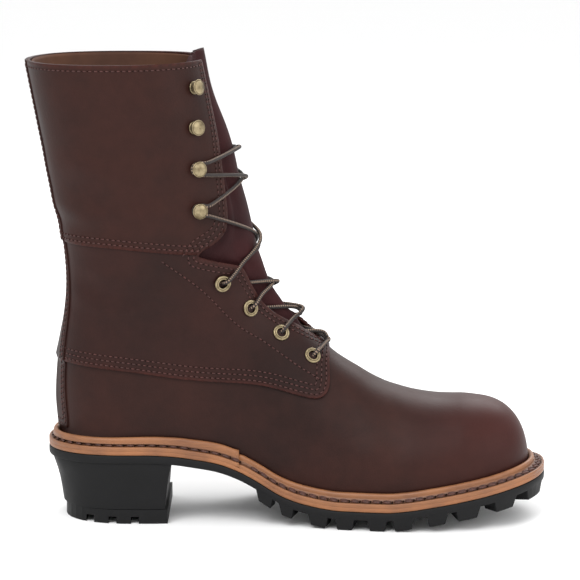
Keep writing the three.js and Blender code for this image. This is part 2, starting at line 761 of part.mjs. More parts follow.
function makeHeelLift() {
  let lift = loft([heelLoop(1, () => 0), heelLoop(1, () => heelLiftHeight)]);
  const backEdge = -heelMargin + heelTaper;
  for (const share of heelGrooves) {
    const x = backEdge + share * (heelLength - breastSlant - heelTaper);
    const [from, to] = [x - heelGroove.width / 2, x + heelGroove.width / 2];
    lift = lift.subtract(block(from, to, -legWidth, legWidth, -1, heelLugDepth));
  }
  const ends = [heelGrooves[0], heelGrooves[heelGrooves.length - 1]];
  const [from, to] = ends.map((share) => backEdge + share * (heelLength - breastSlant - heelTaper));
  const spine = heelGroove.spine / 2;
  return lift.subtract(block(from, to, -spine, spine, -1, heelLugDepth));
}

// The welt runs from the joint at the inner waist round the toe and the heel and back to it.
function makeWelt() {
  const base = midsoleThickness + clearance;
  const shelf = midsoleThickness + weltThickness;
  const forward = soleTurns.filter((turn) => turn > jointTurn + 2 * jointGap);
  const rear = soleTurns.filter((turn) => turn < jointTurn - 2 * jointGap && turn > 0);
  const outer = soleTurns.filter((turn) => turn < 0.5).map((turn) => 1 - turn).reverse();
  const turns = [jointTurn + jointGap, ...forward, ...outer, ...rear.map((turn) => 1 + turn)];
  turns.push(1 + jointTurn - jointGap);
  const sections = turns.map((turn) => {
    const nearJoint = smooth(1 + jointTurn - jointRun, 1 + jointTurn, turn) * jointStep;
    const top = shelf + lipHeight + nearJoint;
    return [
      edgePoint(turn, lipGap, base),
      edgePoint(turn, marginAt, base),
      edgePoint(turn, marginAt, shelf - weltBevel),
      edgePoint(turn, lipThickness + lipFlare, shelf + lipFoot),
      edgePoint(turn, lipThickness, top - lipRound, lipHeight),
      edgePoint(turn, (lipGap + lipThickness) / 2, top, lipHeight),
      edgePoint(turn, lipGap, top - lipRound / 2, lipHeight),
    ];
  });
  const [x0, y0] = sections[0][0];
  const across = sections[0].map(([x, y, z]) => new THREE.Vector2(Math.hypot(x - x0, y - y0), z));
  return loft(sections, THREE.ShapeUtils.triangulateShape(across, []));
}

// The tongue fills the throat and bulges between the facings.
const tongueSpread = [
  { step: 1.25, share: 0.66 },
  { step: 1.8, share: 0.6 },
  { step: 2.5, share: 0.55 },
  { step: 3.2, share: 0.44 },
  { step: 3.8, share: 0.46 },
  { step: 4.4, share: 0.58 },
  { step: 5.3, share: 0.64 },
  { step: 5.4, share: 0.66 },
];
const tongueRows = 14;
const tongueCount = 6;
function makeTongue() {
  const share = curve(tongueSpread, "step", "share");
  const first = tongueSpread[0].step;
  const topStep = collarStep + tongueTopRise / legHeight;
  const sections = [];
  for (let i = 0; i <= tongueRows; i++) {
    const step = i < tongueRows ? lerp(first, collarStep, i / (tongueRows - 1)) : topStep;
    const frame = ribFrame(step, 0, 0);
    const layer = (depth) => {
      const points = [];
      for (let j = -tongueCount; j <= tongueCount; j++) {
        const s = j < 0 ? -1 : 1;
        const at = lerp(1, share(step), Math.abs(j) / tongueCount);
        const bulge = (x, y, z) => {
          const rise = (z - heelRim) / legHeight;
          const across = clamp01(Math.abs(y) / (throatHalf(rise) * legWidth - wallThickness));
          const swell = tongueBulge * Math.cos((across * Math.PI) / 2) ** 2;
          const risen = smooth(bulgeRise.from, bulgeRise.to, rise);
          return insideWall(x, y, z) - tongueGap - depth + swell * risen;
        };
        points.push(ribPoint(frame, at, s, bulge));
      }
      return points;
    };
    sections.push([...layer(0), ...layer(tongueThickness).reverse()]);
  }
  const end = 2 * (2 * tongueCount + 1) - 1;
  const capFaces = [];
  for (let j = 0; j < 2 * tongueCount; j++) capFaces.push([j, j + 1, end - j - 1], [j, end - j - 1, end - j]);
  return loft(sections, capFaces);
}

// The lace: a bar over the lowest pair of eyelets, then crossings up to the laced hooks. At a hook
// it passes in front of the stem, and in between it keeps clear of the tongue.
function makeLace() {
  const overEyelet = quarterStep + 6 * clearance + flangeThickness + laceThickness / 2;
  const overShaft = quarterStep + shaftStep + 3 * clearance + laceThickness / 2;
  const overTongue = tongueBulge + laceOverTongue + laceThickness / 2;
  const stemGap = (hookCap + laceThickness) / 2 + 2 * clearance;
  const eyeletStops = eyeletSpots.map((place) => ({ ...place, offset: overEyelet }));
  const hookStops = hookSpots.slice(0, lacedHooks).map(({ x, rise }) => (
    { x: x + stemGap, rise, offset: overShaft }
  ));
  const stops = [...eyeletStops, ...hookStops];
  const section = Array.from({ length: laceSides }, (_, k) => {
    const turn = (k * 2 * Math.PI) / laceSides;
    return new THREE.Vector2(Math.cos(turn), Math.sin(turn)).multiplyScalar(laceThickness / 2);
  });
  const bar = (from, s, to) => {
    const a = seat(from, s, from.offset).at;
    const b = seat(to, -s, to.offset).at;
    const points = [a];
    for (let i = 1; i < laceSteps; i++) {
      const t = i / laceSteps;
      const behind = a.clone().lerp(b, t).toArray();
      behind[0] -= wallThickness + overEyelet;
      const run = reach(behind, [1, 0, 0], Math.max(lerp(from.offset, to.offset, t), overTongue));
      points.push(new THREE.Vector3(...along(behind, [1, 0, 0], run)));
    }
    points.push(b);
    const extrudePath = new THREE.CatmullRomCurve3(points);
    return solid(new THREE.ExtrudeGeometry(new THREE.Shape(section), { steps: laceSteps, extrudePath }));
  };
  let lace = bar(stops[0], -1, stops[0]);
  for (let i = 0; i + 1 < stops.length; i++) {
    for (const s of [-1, 1]) lace = lace.add(bar(stops[i], s, stops[i + 1]));
  }
  return lace;
}

const eyeletProfile = [
  [eyeletHole / 2, -wallThickness],
  [eyeletHole / 2 + eyeletBarrel, -wallThickness],
  [eyeletHole / 2 + eyeletBarrel, 0],
  [eyeletFlange / 2, 0],
  [eyeletFlange / 2 - flangeThickness / 2, flangeThickness],
  [eyeletHole / 2, flangeThickness * 0.7],
  [eyeletHole / 2, -wallThickness],
];
const hookProfile = [
  [0, 0],
  [hookCap * 0.43, 0],
  [hookCap * 0.43, hookRise * 0.15],
  [hookCap * 0.2, hookRise * 0.15],
  [hookCap * 0.2, hookRise * 0.62],
  [hookCap / 2, hookRise * 0.74],
  [hookCap * 0.3, hookRise],
  [0, hookRise],
];

// A node of the part, with its colour and finish.
const boot = new THREE.Group();
function node(name, made, material) {
  const piece = new THREE.Mesh(shown(made), material);
  piece.name = name;
  boot.add(piece);
}

const leather = new THREE.MeshStandardMaterial({ color: 0x3b2721, roughness: 0.5, metalness: 0 });
const liningLeather = new THREE.MeshStandardMaterial({ color: 0x3a1c1a, roughness: 0.6, metalness: 0 });
const weltTan = new THREE.MeshStandardMaterial({ color: 0xa06a3c, roughness: 0.6, metalness: 0 });
const rubber = new THREE.MeshStandardMaterial({ color: 0x17181a, roughness: 0.7, metalness: 0 });
const brass = new THREE.MeshStandardMaterial({ color: 0x8a7448, roughness: 0.4, metalness: 1 });
const cord = new THREE.MeshStandardMaterial({ color: 0x4a3325, roughness: 0.9, metalness: 0 });

const shell = makeShell();
const sides = [{ s: -1, name: "inner" }, { s: 1, name: "outer" }];
const eyelets = sides.flatMap(({ s, name }) => eyeletSpots.map((place, i) => (
  { name: `eyelet_${name}_${i + 1}`, spot: seat(place, s, quarterStep) }
)));
const hooks = sides.flatMap(({ s, name }) => hookSpots.map((place, i) => (
  { name: `hook_${name}_${i + 1}`, spot: flatSeat(shell, place, s, quarterStep + shaftStep) }
)));
const insoleFoot = midsoleThickness + clearance;
const insole = plate(-(wallThickness + insoleGap), insoleFoot, insoleFoot + insoleThickness);

node("outsole", makeOutsole(), rubber);
node("heel_block", makeHeelBlock(), rubber);
node("heel_lift", makeHeelLift(), rubber);
node("midsole", plate(marginAt, 0, midsoleThickness), weltTan);
node("welt", makeWelt(), weltTan);
node("insole", insole, liningLeather);
node("upper", makeUpper(shell, eyelets.map(({ spot }) => spot)), leather);
node("tongue", makeTongue(), liningLeather);
node("lace", makeLace(), cord);
for (const { name, spot } of eyelets) {
  node(name, solid(stand(turned(eyeletProfile, fixingSides), lifted(spot, clearance))), brass);
}
for (const { name, spot } of hooks) {
  node(name, solid(stand(turned(hookProfile, fixingSides), lifted(spot, clearance))), brass);
}

const size = new THREE.Box3().setFromObject(boot);
const middle = size.getCenter(new THREE.Vector3());
boot.position.set(-middle.x, -middle.y, -size.min.z);
export default boot;
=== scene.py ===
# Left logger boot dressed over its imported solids: leather panels, welt, sole, laces, hooks and stitching.
import math

import bmesh
import bpy
import numpy as np
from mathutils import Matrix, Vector


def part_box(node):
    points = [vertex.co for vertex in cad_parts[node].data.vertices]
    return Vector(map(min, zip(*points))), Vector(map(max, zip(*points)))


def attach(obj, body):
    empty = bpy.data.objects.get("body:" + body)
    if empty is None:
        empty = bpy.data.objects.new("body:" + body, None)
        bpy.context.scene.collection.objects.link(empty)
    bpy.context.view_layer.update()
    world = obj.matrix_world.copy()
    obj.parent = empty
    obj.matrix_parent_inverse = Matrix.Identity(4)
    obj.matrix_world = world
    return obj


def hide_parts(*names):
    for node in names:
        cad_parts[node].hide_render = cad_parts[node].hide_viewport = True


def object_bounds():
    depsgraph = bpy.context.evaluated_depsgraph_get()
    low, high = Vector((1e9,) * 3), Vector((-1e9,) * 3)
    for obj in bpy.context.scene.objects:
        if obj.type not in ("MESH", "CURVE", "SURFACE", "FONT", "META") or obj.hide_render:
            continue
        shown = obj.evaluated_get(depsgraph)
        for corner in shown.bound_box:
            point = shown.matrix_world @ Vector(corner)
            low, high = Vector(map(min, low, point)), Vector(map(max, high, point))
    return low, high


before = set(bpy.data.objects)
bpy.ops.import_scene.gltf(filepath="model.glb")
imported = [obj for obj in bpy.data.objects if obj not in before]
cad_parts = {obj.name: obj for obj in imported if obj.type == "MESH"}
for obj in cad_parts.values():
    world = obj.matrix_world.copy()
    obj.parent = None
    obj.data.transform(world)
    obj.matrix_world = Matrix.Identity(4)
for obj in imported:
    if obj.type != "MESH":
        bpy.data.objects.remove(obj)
cadBox = [list(corner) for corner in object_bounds()]
scene = bpy.context.scene
mm = 0.001

# The form inside the boot, in millimetres, measured from the back of the heel like the solids
last = {
    "length": 294.5,
    "ball": 94.0,
    "toeBox": 50.0,
    "instep": 95.0,
    "toeEnd": 76.0,
    "toeCrown": 43.5,
    "heelEnd": 40.0,
    "legHeight": 238.0,
    "legDepth": 109.0,
    "legWidth": 92.0,
    "instepBlend": 14.0,
    "ankleBlend": 5.0,
    "footPower": 2.25,
    "legPower": 2.35,
    "sideBulge": 0.045,
    "forefoot": 12.2,
    "pitch": 32.5,
    "spring": 16.5,
    "midsole": 2.6,
    "welt": 2.7,
    "weltMargin": 10.3,
    "heelMargin": 7.0,
    "outsole": 5.0,
    "clearance": 0.3,
    "sideShift": 0.176,  # the solids' origin is in the middle of their box
}
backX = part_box("midsole")[0].x / mm + last["heelMargin"]  # where the back of the last lies


# A smooth curve through given rows that never overshoots them
def through(rows, column=1):
    xs = np.array([row[0] for row in rows], float)
    ys = np.array([row[column] for row in rows], float)
    widths = np.diff(xs)
    slopes = np.diff(ys) / widths
    product = slopes[:-1] * slopes[1:]
    total = slopes[:-1] + slopes[1:]
    middle = np.where(product > 0, 2 * product / np.where(total == 0, 1, total), 0)
    tangents = np.concatenate([slopes[:1], middle, slopes[-1:]])

    def value(x):
        i = np.clip(np.searchsorted(xs, x, side="right") - 1, 0, len(xs) - 2)
        t = np.clip((x - xs[i]) / widths[i], 0, 1)
        u = 1 - t
        ends = ys[i] * u * u * (1 + 2 * t) + ys[i + 1] * t * t * (3 - 2 * t)
        return ends + (tangents[i] * u - tangents[i + 1] * t) * widths[i] * t * u

    return value


# Half the width and the centre line, as shares of the ball, along the last
planRows = [
    (-0.1, 0.345, 0), (0.18, 0.347, 0), (0.28, 0.345, 0.014), (0.38, 0.355, 0.034), (0.485, 0.404, 0.043),
    (0.587, 0.463, 0.029), (0.672, 0.493, 0.011), (0.757, 0.5, -0.008), (1.1, 0.5, -0.04),
]
# How much of the heel's pitch and of the toe's spring lifts the sole
soleRows = [
    (-0.1, 1, 0), (0.18, 1, 0), (0.241, 0.97, 0), (0.285, 0.91, 0), (0.333, 0.83, 0), (0.377, 0.69, 0),
    (0.418, 0.5, 0), (0.469, 0.235, 0), (0.506, 0.115, 0), (0.553, 0.035, 0), (0.594, 0, 0), (0.69, 0, 0),
    (0.727, 0, 0.06), (0.778, 0, 0.2), (0.845, 0, 0.4), (0.903, 0, 0.58), (0.961, 0, 0.78), (1.1, 0, 1.24),
]
# The ridge of the foot, from the toe box's height to the instep's
ridgeRows = [
    (-0.1, 0.44), (0, 0.44), (0.078, 0.84), (0.18, 1.06), (0.282, 1.19), (0.367, 1.235), (0.435, 1.26),
    (0.494, 1.18), (0.537, 1), (0.577, 0.8), (0.628, 0.575), (0.693, 0.35), (0.757, 0.175), (0.808, 0.075),
    (0.852, 0.02), (0.9, -0.02), (1.1, -0.03),
]
# Back, front and half width of the leg at shares of its height
legRows = [
    (-0.1, 0.01, 0.83, 0.33), (0, -0.005, 0.85, 0.34), (0.104, -0.03, 0.95, 0.36),
    (0.188, -0.02, 1.03, 0.352),
    (0.271, 0.015, 1.09, 0.335), (0.354, 0.048, 1.138, 0.336), (0.425, 0.057, 1.14, 0.36),
    (0.492, 0.05, 1.092, 0.39), (0.5625, 0.03, 1.05, 0.418), (0.625, 0, 1.023, 0.44),
    (0.704, -0.032, 0.98, 0.467), (0.771, -0.058, 0.943, 0.483), (0.833, -0.083, 0.907, 0.499),
    (0.896, -0.108, 0.87, 0.515), (1, -0.15, 0.815, 0.54), (1.1, -0.19, 0.765, 0.56),
]
# The sections that the leather is laid out on: where each starts and how it leans
ribRows = [
    (0, 1, 0, 90), (1, 0.62, 0, 90), (1.4, 0.5, 0, 78), (1.8, 0.35, 0, 60), (2.2, 0.2, 0, 52),
    (2.5, 0.1, 0, 49), (2.7, 0.047, 0, 47.5), (2.9, 0.012, 0, 46), (3, 0, 0, 45), (3.3, 0, 0.13, 44),
    (3.7, 0, 0.33, 39), (4, 0, 0.46, 33), (4.4, 0, 0.63, 24), (4.8, 0, 0.8, 12), (5.3, 0, 1, 0),
]
# Half the width of the throat at shares of the leg's height, seen from the front
throatRows = [
    (0.15, -0.9), (0.235, -0.1), (0.26, 0.03), (0.285, 0.075), (0.32, 0.1), (0.36, 0.13), (0.4, 0.16),
    (0.433, 0.19), (0.462, 0.23), (0.475, 0.28), (0.485, 0.335), (0.498, 0.367), (0.512, 0.367),
    (0.527, 0.345), (0.546, 0.31), (0.571, 0.283), (0.605, 0.272), (0.651, 0.266), (0.735, 0.245),
    (0.828, 0.207), (0.912, 0.185), (1.06, 0.16),
]
planHalf = through(planRows, 1)
planShift = through(planRows, 2)
solePitch = through(soleRows, 1)
soleSpring = through(soleRows, 2)
ridgeShare = through(ridgeRows)
legBack = through(legRows, 1)
legFront = through(legRows, 2)
legHalf = through(legRows, 3)
ribStation = through(ribRows, 1)
ribClimb = through(ribRows, 2)
ribLean = through(ribRows, 3)
throatHalf = through(throatRows)


def smoothStep(low, high, value):
    t = np.clip((value - low) / (high - low), 0, 1)
    return t * t * (3 - 2 * t)


def mix(a, b, t):
    return a + (b - a) * t


def soleUnder(x):
    station = x / last["length"]
    return last["forefoot"] + last["pitch"] * solePitch(station) + last["spring"] * soleSpring(station)


def rimHeight(x):
    return soleUnder(x) + last["midsole"] + last["welt"]


heelRim = float(rimHeight(0.0))


def legLevel(rise):
    return heelRim + last["legHeight"] * rise


def riseAt(z):
    return (z - heelRim) / last["legHeight"]


def centreLine(x):
    return last["ball"] * planShift(x / last["length"])


# How far a point lies outside a form whose gauge is 1 on its surface
def awayFrom(gauge, x, y, z):
    h = 0.05
    g = gauge(x, y, z)
    slope = np.sqrt(
        (gauge(x + h, y, z) - g) ** 2 + (gauge(x, y + h, z) - g) ** 2 + (gauge(x, y, z + h) - g) ** 2
    )
    return np.maximum(-25, (g - 1) * h / np.maximum(slope, 1e-7))


def footGauge(x, y, z):
    power = last["footPower"]
    rise = mix(last["toeBox"], last["instep"], ridgeShare(x / last["length"]))
    up = np.maximum(0, z - rimHeight(x)) / rise
    belly = 1 + last["sideBulge"] * np.sin(math.pi * np.minimum(1, up / 0.7))
    half = last["ball"] * planHalf(x / last["length"]) * belly
    across = (np.abs(y - centreLine(x)) / half) ** power
    above = up ** power
    heel = np.maximum(0, 1 - x / last["heelEnd"]) ** power
    crown = above / (across + above + 1e-9)
    toePlan = np.maximum(0, 1 - (last["length"] - x) / last["toeEnd"])
    toeCrown = np.maximum(0, 1 - (last["length"] - x) / last["toeCrown"])
    return (across + above + heel + mix(toePlan, toeCrown, crown) ** power) ** (1 / power)


def legGauge(x, y, z):
    rise = riseAt(z)
    back = legBack(rise) * last["legDepth"]
    front = legFront(rise) * last["legDepth"]
    along = np.abs(x - (back + front) / 2) / ((front - back) / 2)
    across = np.abs(y) / (legHalf(rise) * last["legWidth"])
    return (along ** last["legPower"] + across ** last["legPower"]) ** (1 / last["legPower"])


# The whole form: negative inside, positive outside, in millimetres
def overLast(x, y, z):
    foot = awayFrom(footGauge, x, y, z)
    shank = awayFrom(legGauge, x, y, z)
    blend = mix(last["ankleBlend"], last["instepBlend"], smoothStep(0.5, 0.95, x / last["legDepth"]))
    near = np.maximum(0, blend - np.abs(foot - shank)) / blend
    return np.minimum(foot, shank) - near * near * blend / 4


# Where rays that start inside meet the form grown by an offset
def reach(origin, ray, offset=0.0, far=320.0, rounds=20):
    origin = np.atleast_2d(np.asarray(origin, float))
    ray = np.broadcast_to(np.atleast_2d(np.asarray(ray, float)), origin.shape)
    low = np.zeros(len(origin))
    high = np.full(len(origin), far)
    for _ in range(rounds):
        middle = (low + high) / 2
        at = origin + ray * middle[:, None]
        limit = offset(at) if callable(offset) else offset
        inside = overLast(at[:, 0], at[:, 1], at[:, 2]) < limit
        low = np.where(inside, middle, low)
        high = np.where(inside, high, middle)
    return origin + ray * low[:, None]


def facing(points):
    h = 0.15
    x, y, z = points.T
    slope = np.stack([
        overLast(x + h, y, z) - overLast(x - h, y, z),
        overLast(x, y + h, z) - overLast(x, y - h, z),
        overLast(x, y, z + h) - overLast(x, y, z - h),
    ], axis=1)
    return slope / np.maximum(np.linalg.norm(slope, axis=1), 1e-9)[:, None]


# A point seen from the side, on the surface at one side, with the way it faces
def seat(station, rise, side, offset):
    start = [station * last["length"], 0.0, legLevel(rise)]
    at = reach([start], [[0, side, 0]], offset, rounds=26)
    return at[0], facing(at)[0]


def toWorld(points):
    return (np.asarray(points, float) + [backX, last["sideShift"], 0]) * mm


print("boot: shape functions ready")

grid = {
    "toeRows": 76,
    "footRows": 92,
    "legRows": 100,
    "halfAcross": 96,
    "drop": 2.0,  # how far the leather runs down behind the welt
    "sink": 0.4,
    "easing": 220,  # rounds of easing over the valley between foot and leg
    "heelStep": 3.0,
    "collarStep": 5.3,
    "over": 9.0,  # rows above the collar, for the top of the tongue
}


# Draws each point of a grid towards its four neighbours, by a weight
def eased(rows, weight):
    around = rows.copy()
    around[1:-1, 1:-1] = (rows[:-2, 1:-1] + rows[2:, 1:-1] + rows[1:-1, :-2] + rows[1:-1, 2:]) / 4
    return rows + (around - rows) * weight


# The base sheet of the leather: rows of points from rim to rim, from the toe to the collar
def baseSheet():
    toe = 1 - np.cos(np.linspace(0.03, 1, grid["toeRows"]) * math.pi / 2)
    foot = np.linspace(1, grid["heelStep"], grid["footRows"])[1:]
    top = grid["collarStep"] + grid["over"] / last["legHeight"]
    leg = np.linspace(grid["heelStep"], top, grid["legRows"])[1:]
    steps = np.concatenate([toe, foot, leg])
    lean = np.radians(ribLean(steps))
    ahead = np.stack([np.cos(lean), 0 * lean, np.sin(lean)], axis=1)
    climb = ribClimb(steps) + np.maximum(0, steps - grid["collarStep"])
    onFoot = steps < grid["heelStep"]
    height = legLevel(climb) - grid["drop"] * (1 - np.clip(climb / 0.05, 0, 1))

    def backAt(z):
        start = np.stack([np.full(len(z), last["heelEnd"]), 0 * z, z], axis=1)
        return reach(start, [[-1, 0, 0]])[:, 0]

    toeX = reach([[last["length"] / 2, 0, float(rimHeight(last["length"]))]], [[1, 0, 0]])[0, 0]
    heelX = backAt(np.array([heelRim]))[0]
    footX = np.where(onFoot, mix(heelX, toeX, ribStation(steps)), backAt(height))
    footZ = np.where(onFoot, rimHeight(footX) - grid["drop"], height)
    start = np.stack([footX, centreLine(footX), footZ], axis=1)
    inset = 2.0
    top = reach(start + ahead * inset, ahead)
    length = np.linalg.norm(top - start, axis=1)
    middle = start + ahead * (length * grid["sink"])[:, None]
    shares = np.linspace(0, 1, grid["halfAcross"] + 1)
    halves = []
    for side in (-1, 1):
        rim = np.where(onFoot, np.abs(reach(start, [[0, side, 0]])[:, 1] - start[:, 1]), 0)
        wide = np.abs(reach(middle, [[0, side, 0]])[:, 1] - middle[:, 1])
        low = np.arctan2(-2 * grid["sink"], rim / wide)
        angle = mix(low[:, None], math.pi / 2, shares[None, :])
        flat = np.cos(angle) * wide[:, None] * side
        up = np.sin(angle) * length[:, None] / 2
        size = np.hypot(flat, up)
        ray = np.stack([ahead[:, :1] * up / size, flat / size, ahead[:, 2:] * up / size], axis=2)
        origin = np.broadcast_to(middle[:, None, :], ray.shape)
        points = reach(origin.reshape(-1, 3), ray.reshape(-1, 3)).reshape(ray.shape)
        points[:, 0] = np.stack([start[:, 0], start[:, 1] + side * rim, start[:, 2]], axis=1)
        halves.append(points)
    rows = np.concatenate([halves[0], halves[1][:, -2::-1]], axis=1)
    count = rows.shape[1]
    flat = rows.reshape(-1, 3)
    apart = awayFrom(footGauge, *flat.T) - awayFrom(legGauge, *flat.T)
    valley = np.exp(-(apart / 12.0) ** 2) * (1 - smoothStep(148, 172, flat[:, 0]))
    valley = valley.reshape(rows.shape[:2])[..., None]
    normals = facing(flat).reshape(rows.shape)
    for _ in range(grid["easing"]):
        rows = eased(rows, valley)
        normals = eased(normals, valley)
    normals /= np.linalg.norm(normals, axis=2)[..., None]
    points = rows.reshape(-1, 3)
    i, j = np.meshgrid(np.arange(len(rows) - 1), np.arange(count - 1), indexing="ij")
    a = (i * count + j).ravel()
    b, c, d = a + 1, a + count + 1, a + count
    faces = np.concatenate([np.stack([a, b, c], axis=1), np.stack([a, c, d], axis=1)])
    tip = len(points)
    points = np.concatenate([points, points[:count].mean(axis=0)[None] + [[0.15, 0, 0]]])
    columns = np.column_stack([points, np.concatenate([normals.reshape(-1, 3), [[1, 0, 0]]])])
    fan = np.stack([np.full(count - 1, tip), np.arange(1, count), np.arange(count - 1)], axis=1)
    return weld(columns, np.concatenate([faces, fan]))


# Joins points that lie on one another and drops the faces that this closes
def weld(points, faces, grain=0.01):
    keys = np.round(points[:, :3] / grain).astype(np.int64)
    _, first, back = np.unique(keys, axis=0, return_index=True, return_inverse=True)
    faces = back.reshape(-1)[faces]
    good = (faces[:, 0] != faces[:, 1]) & (faces[:, 1] != faces[:, 2]) & (faces[:, 0] != faces[:, 2])
    return points[first], faces[good]


# Cuts a sheet along the line where a value is zero, and keeps the side where it is positive
def clipped(columns, faces, values):
    inside = values > 0
    count = inside[faces].sum(axis=1)
    kept = [faces[count == 3]]
    fresh = []
    made = {}
    extra = []

    def cut(a, b):
        key = (min(a, b), max(a, b))
        if key not in made:
            t = values[a] / (values[a] - values[b])
            made[key] = len(columns) + len(fresh)
            fresh.append(columns[a] + (columns[b] - columns[a]) * t)
        return made[key]

    for face in faces[(count == 1) | (count == 2)]:
        turn = [k for k in range(3) if inside[face[k]] != inside[face[(k + 1) % 3]] and
                inside[face[k]] != inside[face[(k + 2) % 3]]][0]
        a, b, c = face[turn], face[(turn + 1) % 3], face[(turn + 2) % 3]
        ab, ac = cut(a, b), cut(a, c)
        if inside[a]:
            extra.append((a, ab, ac))
        else:
            extra.extend([(ab, b, c), (ab, c, ac)])
    kept.append(np.array(extra, int).reshape(-1, 3))
    columns = np.concatenate([columns, np.array(fresh).reshape(-1, columns.shape[1])])
    faces = np.concatenate(kept)
    used, back = np.unique(faces, return_inverse=True)
    return columns[used], back.reshape(faces.shape)


# The lines on a sheet where a value passes through a level
def contours(columns, faces, values, level):
    above = values > level
    crossing = faces[(above[faces].sum(axis=1) % 3) > 0]
    links = {}
    spots = {}
    for face in crossing:
        ends = []
        for k in range(3):
            a, b = int(face[k]), int(face[(k + 1) % 3])
            if above[a] == above[b]:
                continue
            key = (min(a, b), max(a, b))
            if key not in spots:
                t = (level - values[a]) / (values[b] - values[a])
                spots[key] = columns[a] + (columns[b] - columns[a]) * t
            ends.append(key)
        if len(ends) == 2:
            links.setdefault(ends[0], []).append(ends[1])
            links.setdefault(ends[1], []).append(ends[0])
    lines = []
    left = set(links)
    ends = [key for key in links if len(links[key]) == 1]
    while left:
        start = next((key for key in ends if key in left), None) or next(iter(left))
        chain = [start]
        left.discard(start)
        while True:
            following = next((key for key in links[chain[-1]] if key in left), None)
            if following is None:
                break
            chain.append(following)
            left.discard(following)
        lines.append(np.array([spots[key] for key in chain]))
    return sorted(lines, key=len, reverse=True)


# Signed distance to a closed outline in a flat view, positive inside
def insideOutline(px, pz, outline):
    a = outline
    b = np.roll(outline, -1, axis=0)
    best = np.full(len(px), 1e9)
    winding = np.zeros(len(px), bool)
    for (ax, az), (bx, bz) in zip(a, b):
        dx, dz = bx - ax, bz - az
        t = np.clip(((px - ax) * dx + (pz - az) * dz) / (dx * dx + dz * dz + 1e-12), 0, 1)
        best = np.minimum(best, np.hypot(px - ax - dx * t, pz - az - dz * t))
        if az != bz:
            winding ^= ((az > pz) != (bz > pz)) & (px < (bx - ax) * (pz - az) / (bz - az) + ax)
    return np.where(winding, best, -best)


# A smooth line through given points
def rounded(points, pieces=8):
    points = np.array(points, float)
    padded = np.concatenate([[2 * points[0] - points[1]], points, [2 * points[-1] - points[-2]]])
    out = []
    for i in range(1, len(padded) - 2):
        p0, p1, p2, p3 = padded[i - 1:i + 3]
        for t in np.arange(pieces) / pieces:
            out.append(0.5 * (2 * p1 + (p2 - p0) * t + (2 * p0 - 5 * p1 + 4 * p2 - p3) * t ** 2
                              + (3 * p1 - p0 - 3 * p2 + p3) * t ** 3))
    out.append(padded[-2])
    return np.array(out)


def evenly(line, step, closed=False):
    if closed:
        line = np.concatenate([line, line[:1]])
    gaps = np.linalg.norm(np.diff(line[:, :3], axis=0), axis=1)
    run = np.concatenate([[0], np.cumsum(gaps)])
    count = max(2, int(round(run[-1] / step)) + 1)
    at = np.linspace(0, run[-1], count)
    return np.stack([np.interp(at, run, line[:, k]) for k in range(line.shape[1])], axis=1)


base, baseFaces = baseSheet()
print("boot: base sheet", len(base), "points", len(baseFaces), "faces")


# Colours are picked as screen values and turned into the linear ones that shaders take
def screen(red, green, blue):
    def linear(c):
        c = c / 255
        return c / 12.92 if c <= 0.04045 else ((c + 0.055) / 1.055) ** 2.4
    return (linear(red), linear(green), linear(blue), 1.0)


# A small helper for node trees: adds a node, sets plain values and links what is passed as a socket
def put(tree, kind, values=None, **settings):
    made = tree.nodes.new(kind)
    for key, value in settings.items():
        setattr(made, key, value)
    for key, value in (values or {}).items():
        target = made.inputs[key]
        if isinstance(value, bpy.types.NodeSocket):
            tree.links.new(value, target)
        else:
            target.default_value = value
    return made


def shaderMaterial(name, roughness, metallic=0.0, coat=0.0, coatRoughness=0.3, specular=0.5):
    material = bpy.data.materials.new(name)
    material.use_nodes = True
    tree = material.node_tree
    tree.nodes.clear()
    surface = put(tree, "ShaderNodeBsdfPrincipled", {
        "Roughness": roughness, "Metallic": metallic, "Coat Weight": coat,
        "Coat Roughness": coatRoughness, "Specular IOR Level": specular,
    })
    out = put(tree, "ShaderNodeOutputMaterial")
    tree.links.new(surface.outputs["BSDF"], out.inputs["Surface"])
    place = put(tree, "ShaderNodeTexCoord").outputs["Object"]
    return material, tree, surface, place


def noise(tree, place, scale, detail=4.0, roughness=0.55, distortion=0.0):
    return put(tree, "ShaderNodeTexNoise", {
        "Vector": place, "Scale": scale, "Detail": detail, "Roughness": roughness, "Distortion": distortion,
    }).outputs["Fac"]


def ramp(tree, value, stops):
    made = put(tree, "ShaderNodeValToRGB", {"Fac": value})
    elements = made.color_ramp.elements
    while len(elements) < len(stops):
        elements.new(0.5)
    for element, (position, colour) in zip(elements, stops):
        element.position = position
        element.color = colour
    return made.outputs["Color"]


def remap(tree, value, low, high, toLow, toHigh):
    return put(tree, "ShaderNodeMapRange", {
        "Value": value, "From Min": low, "From Max": high, "To Min": toLow, "To Max": toHigh,
    }).outputs["Result"]


def blendColour(tree, factor, a, b, mode="MIX"):
    made = put(tree, "ShaderNodeMix", data_type="RGBA", blend_type=mode)
    for socket, value in ((made.inputs[0], factor), (made.inputs[6], a), (made.inputs[7], b)):
        if isinstance(value, bpy.types.NodeSocket):
            tree.links.new(value, socket)
        else:
            socket.default_value = value
    return made.outputs[2]


def calculate(tree, operation, a, b=0.0):
    made = put(tree, "ShaderNodeMath", operation=operation)
    for socket, value in ((made.inputs[0], a), (made.inputs[1], b)):
        if isinstance(value, bpy.types.NodeSocket):
            tree.links.new(value, socket)
        else:
            socket.default_value = value
    return made.outputs[0]


leatherLook = {
    "base": screen(46, 23, 18),
    "dark": screen(31, 15, 12),
    "pull": screen(70, 31, 25),  # oil pushed out of the leather where it is stretched
    "grain": 900.0,
    "pores": 2600.0,
    "coat": 0.03,
}


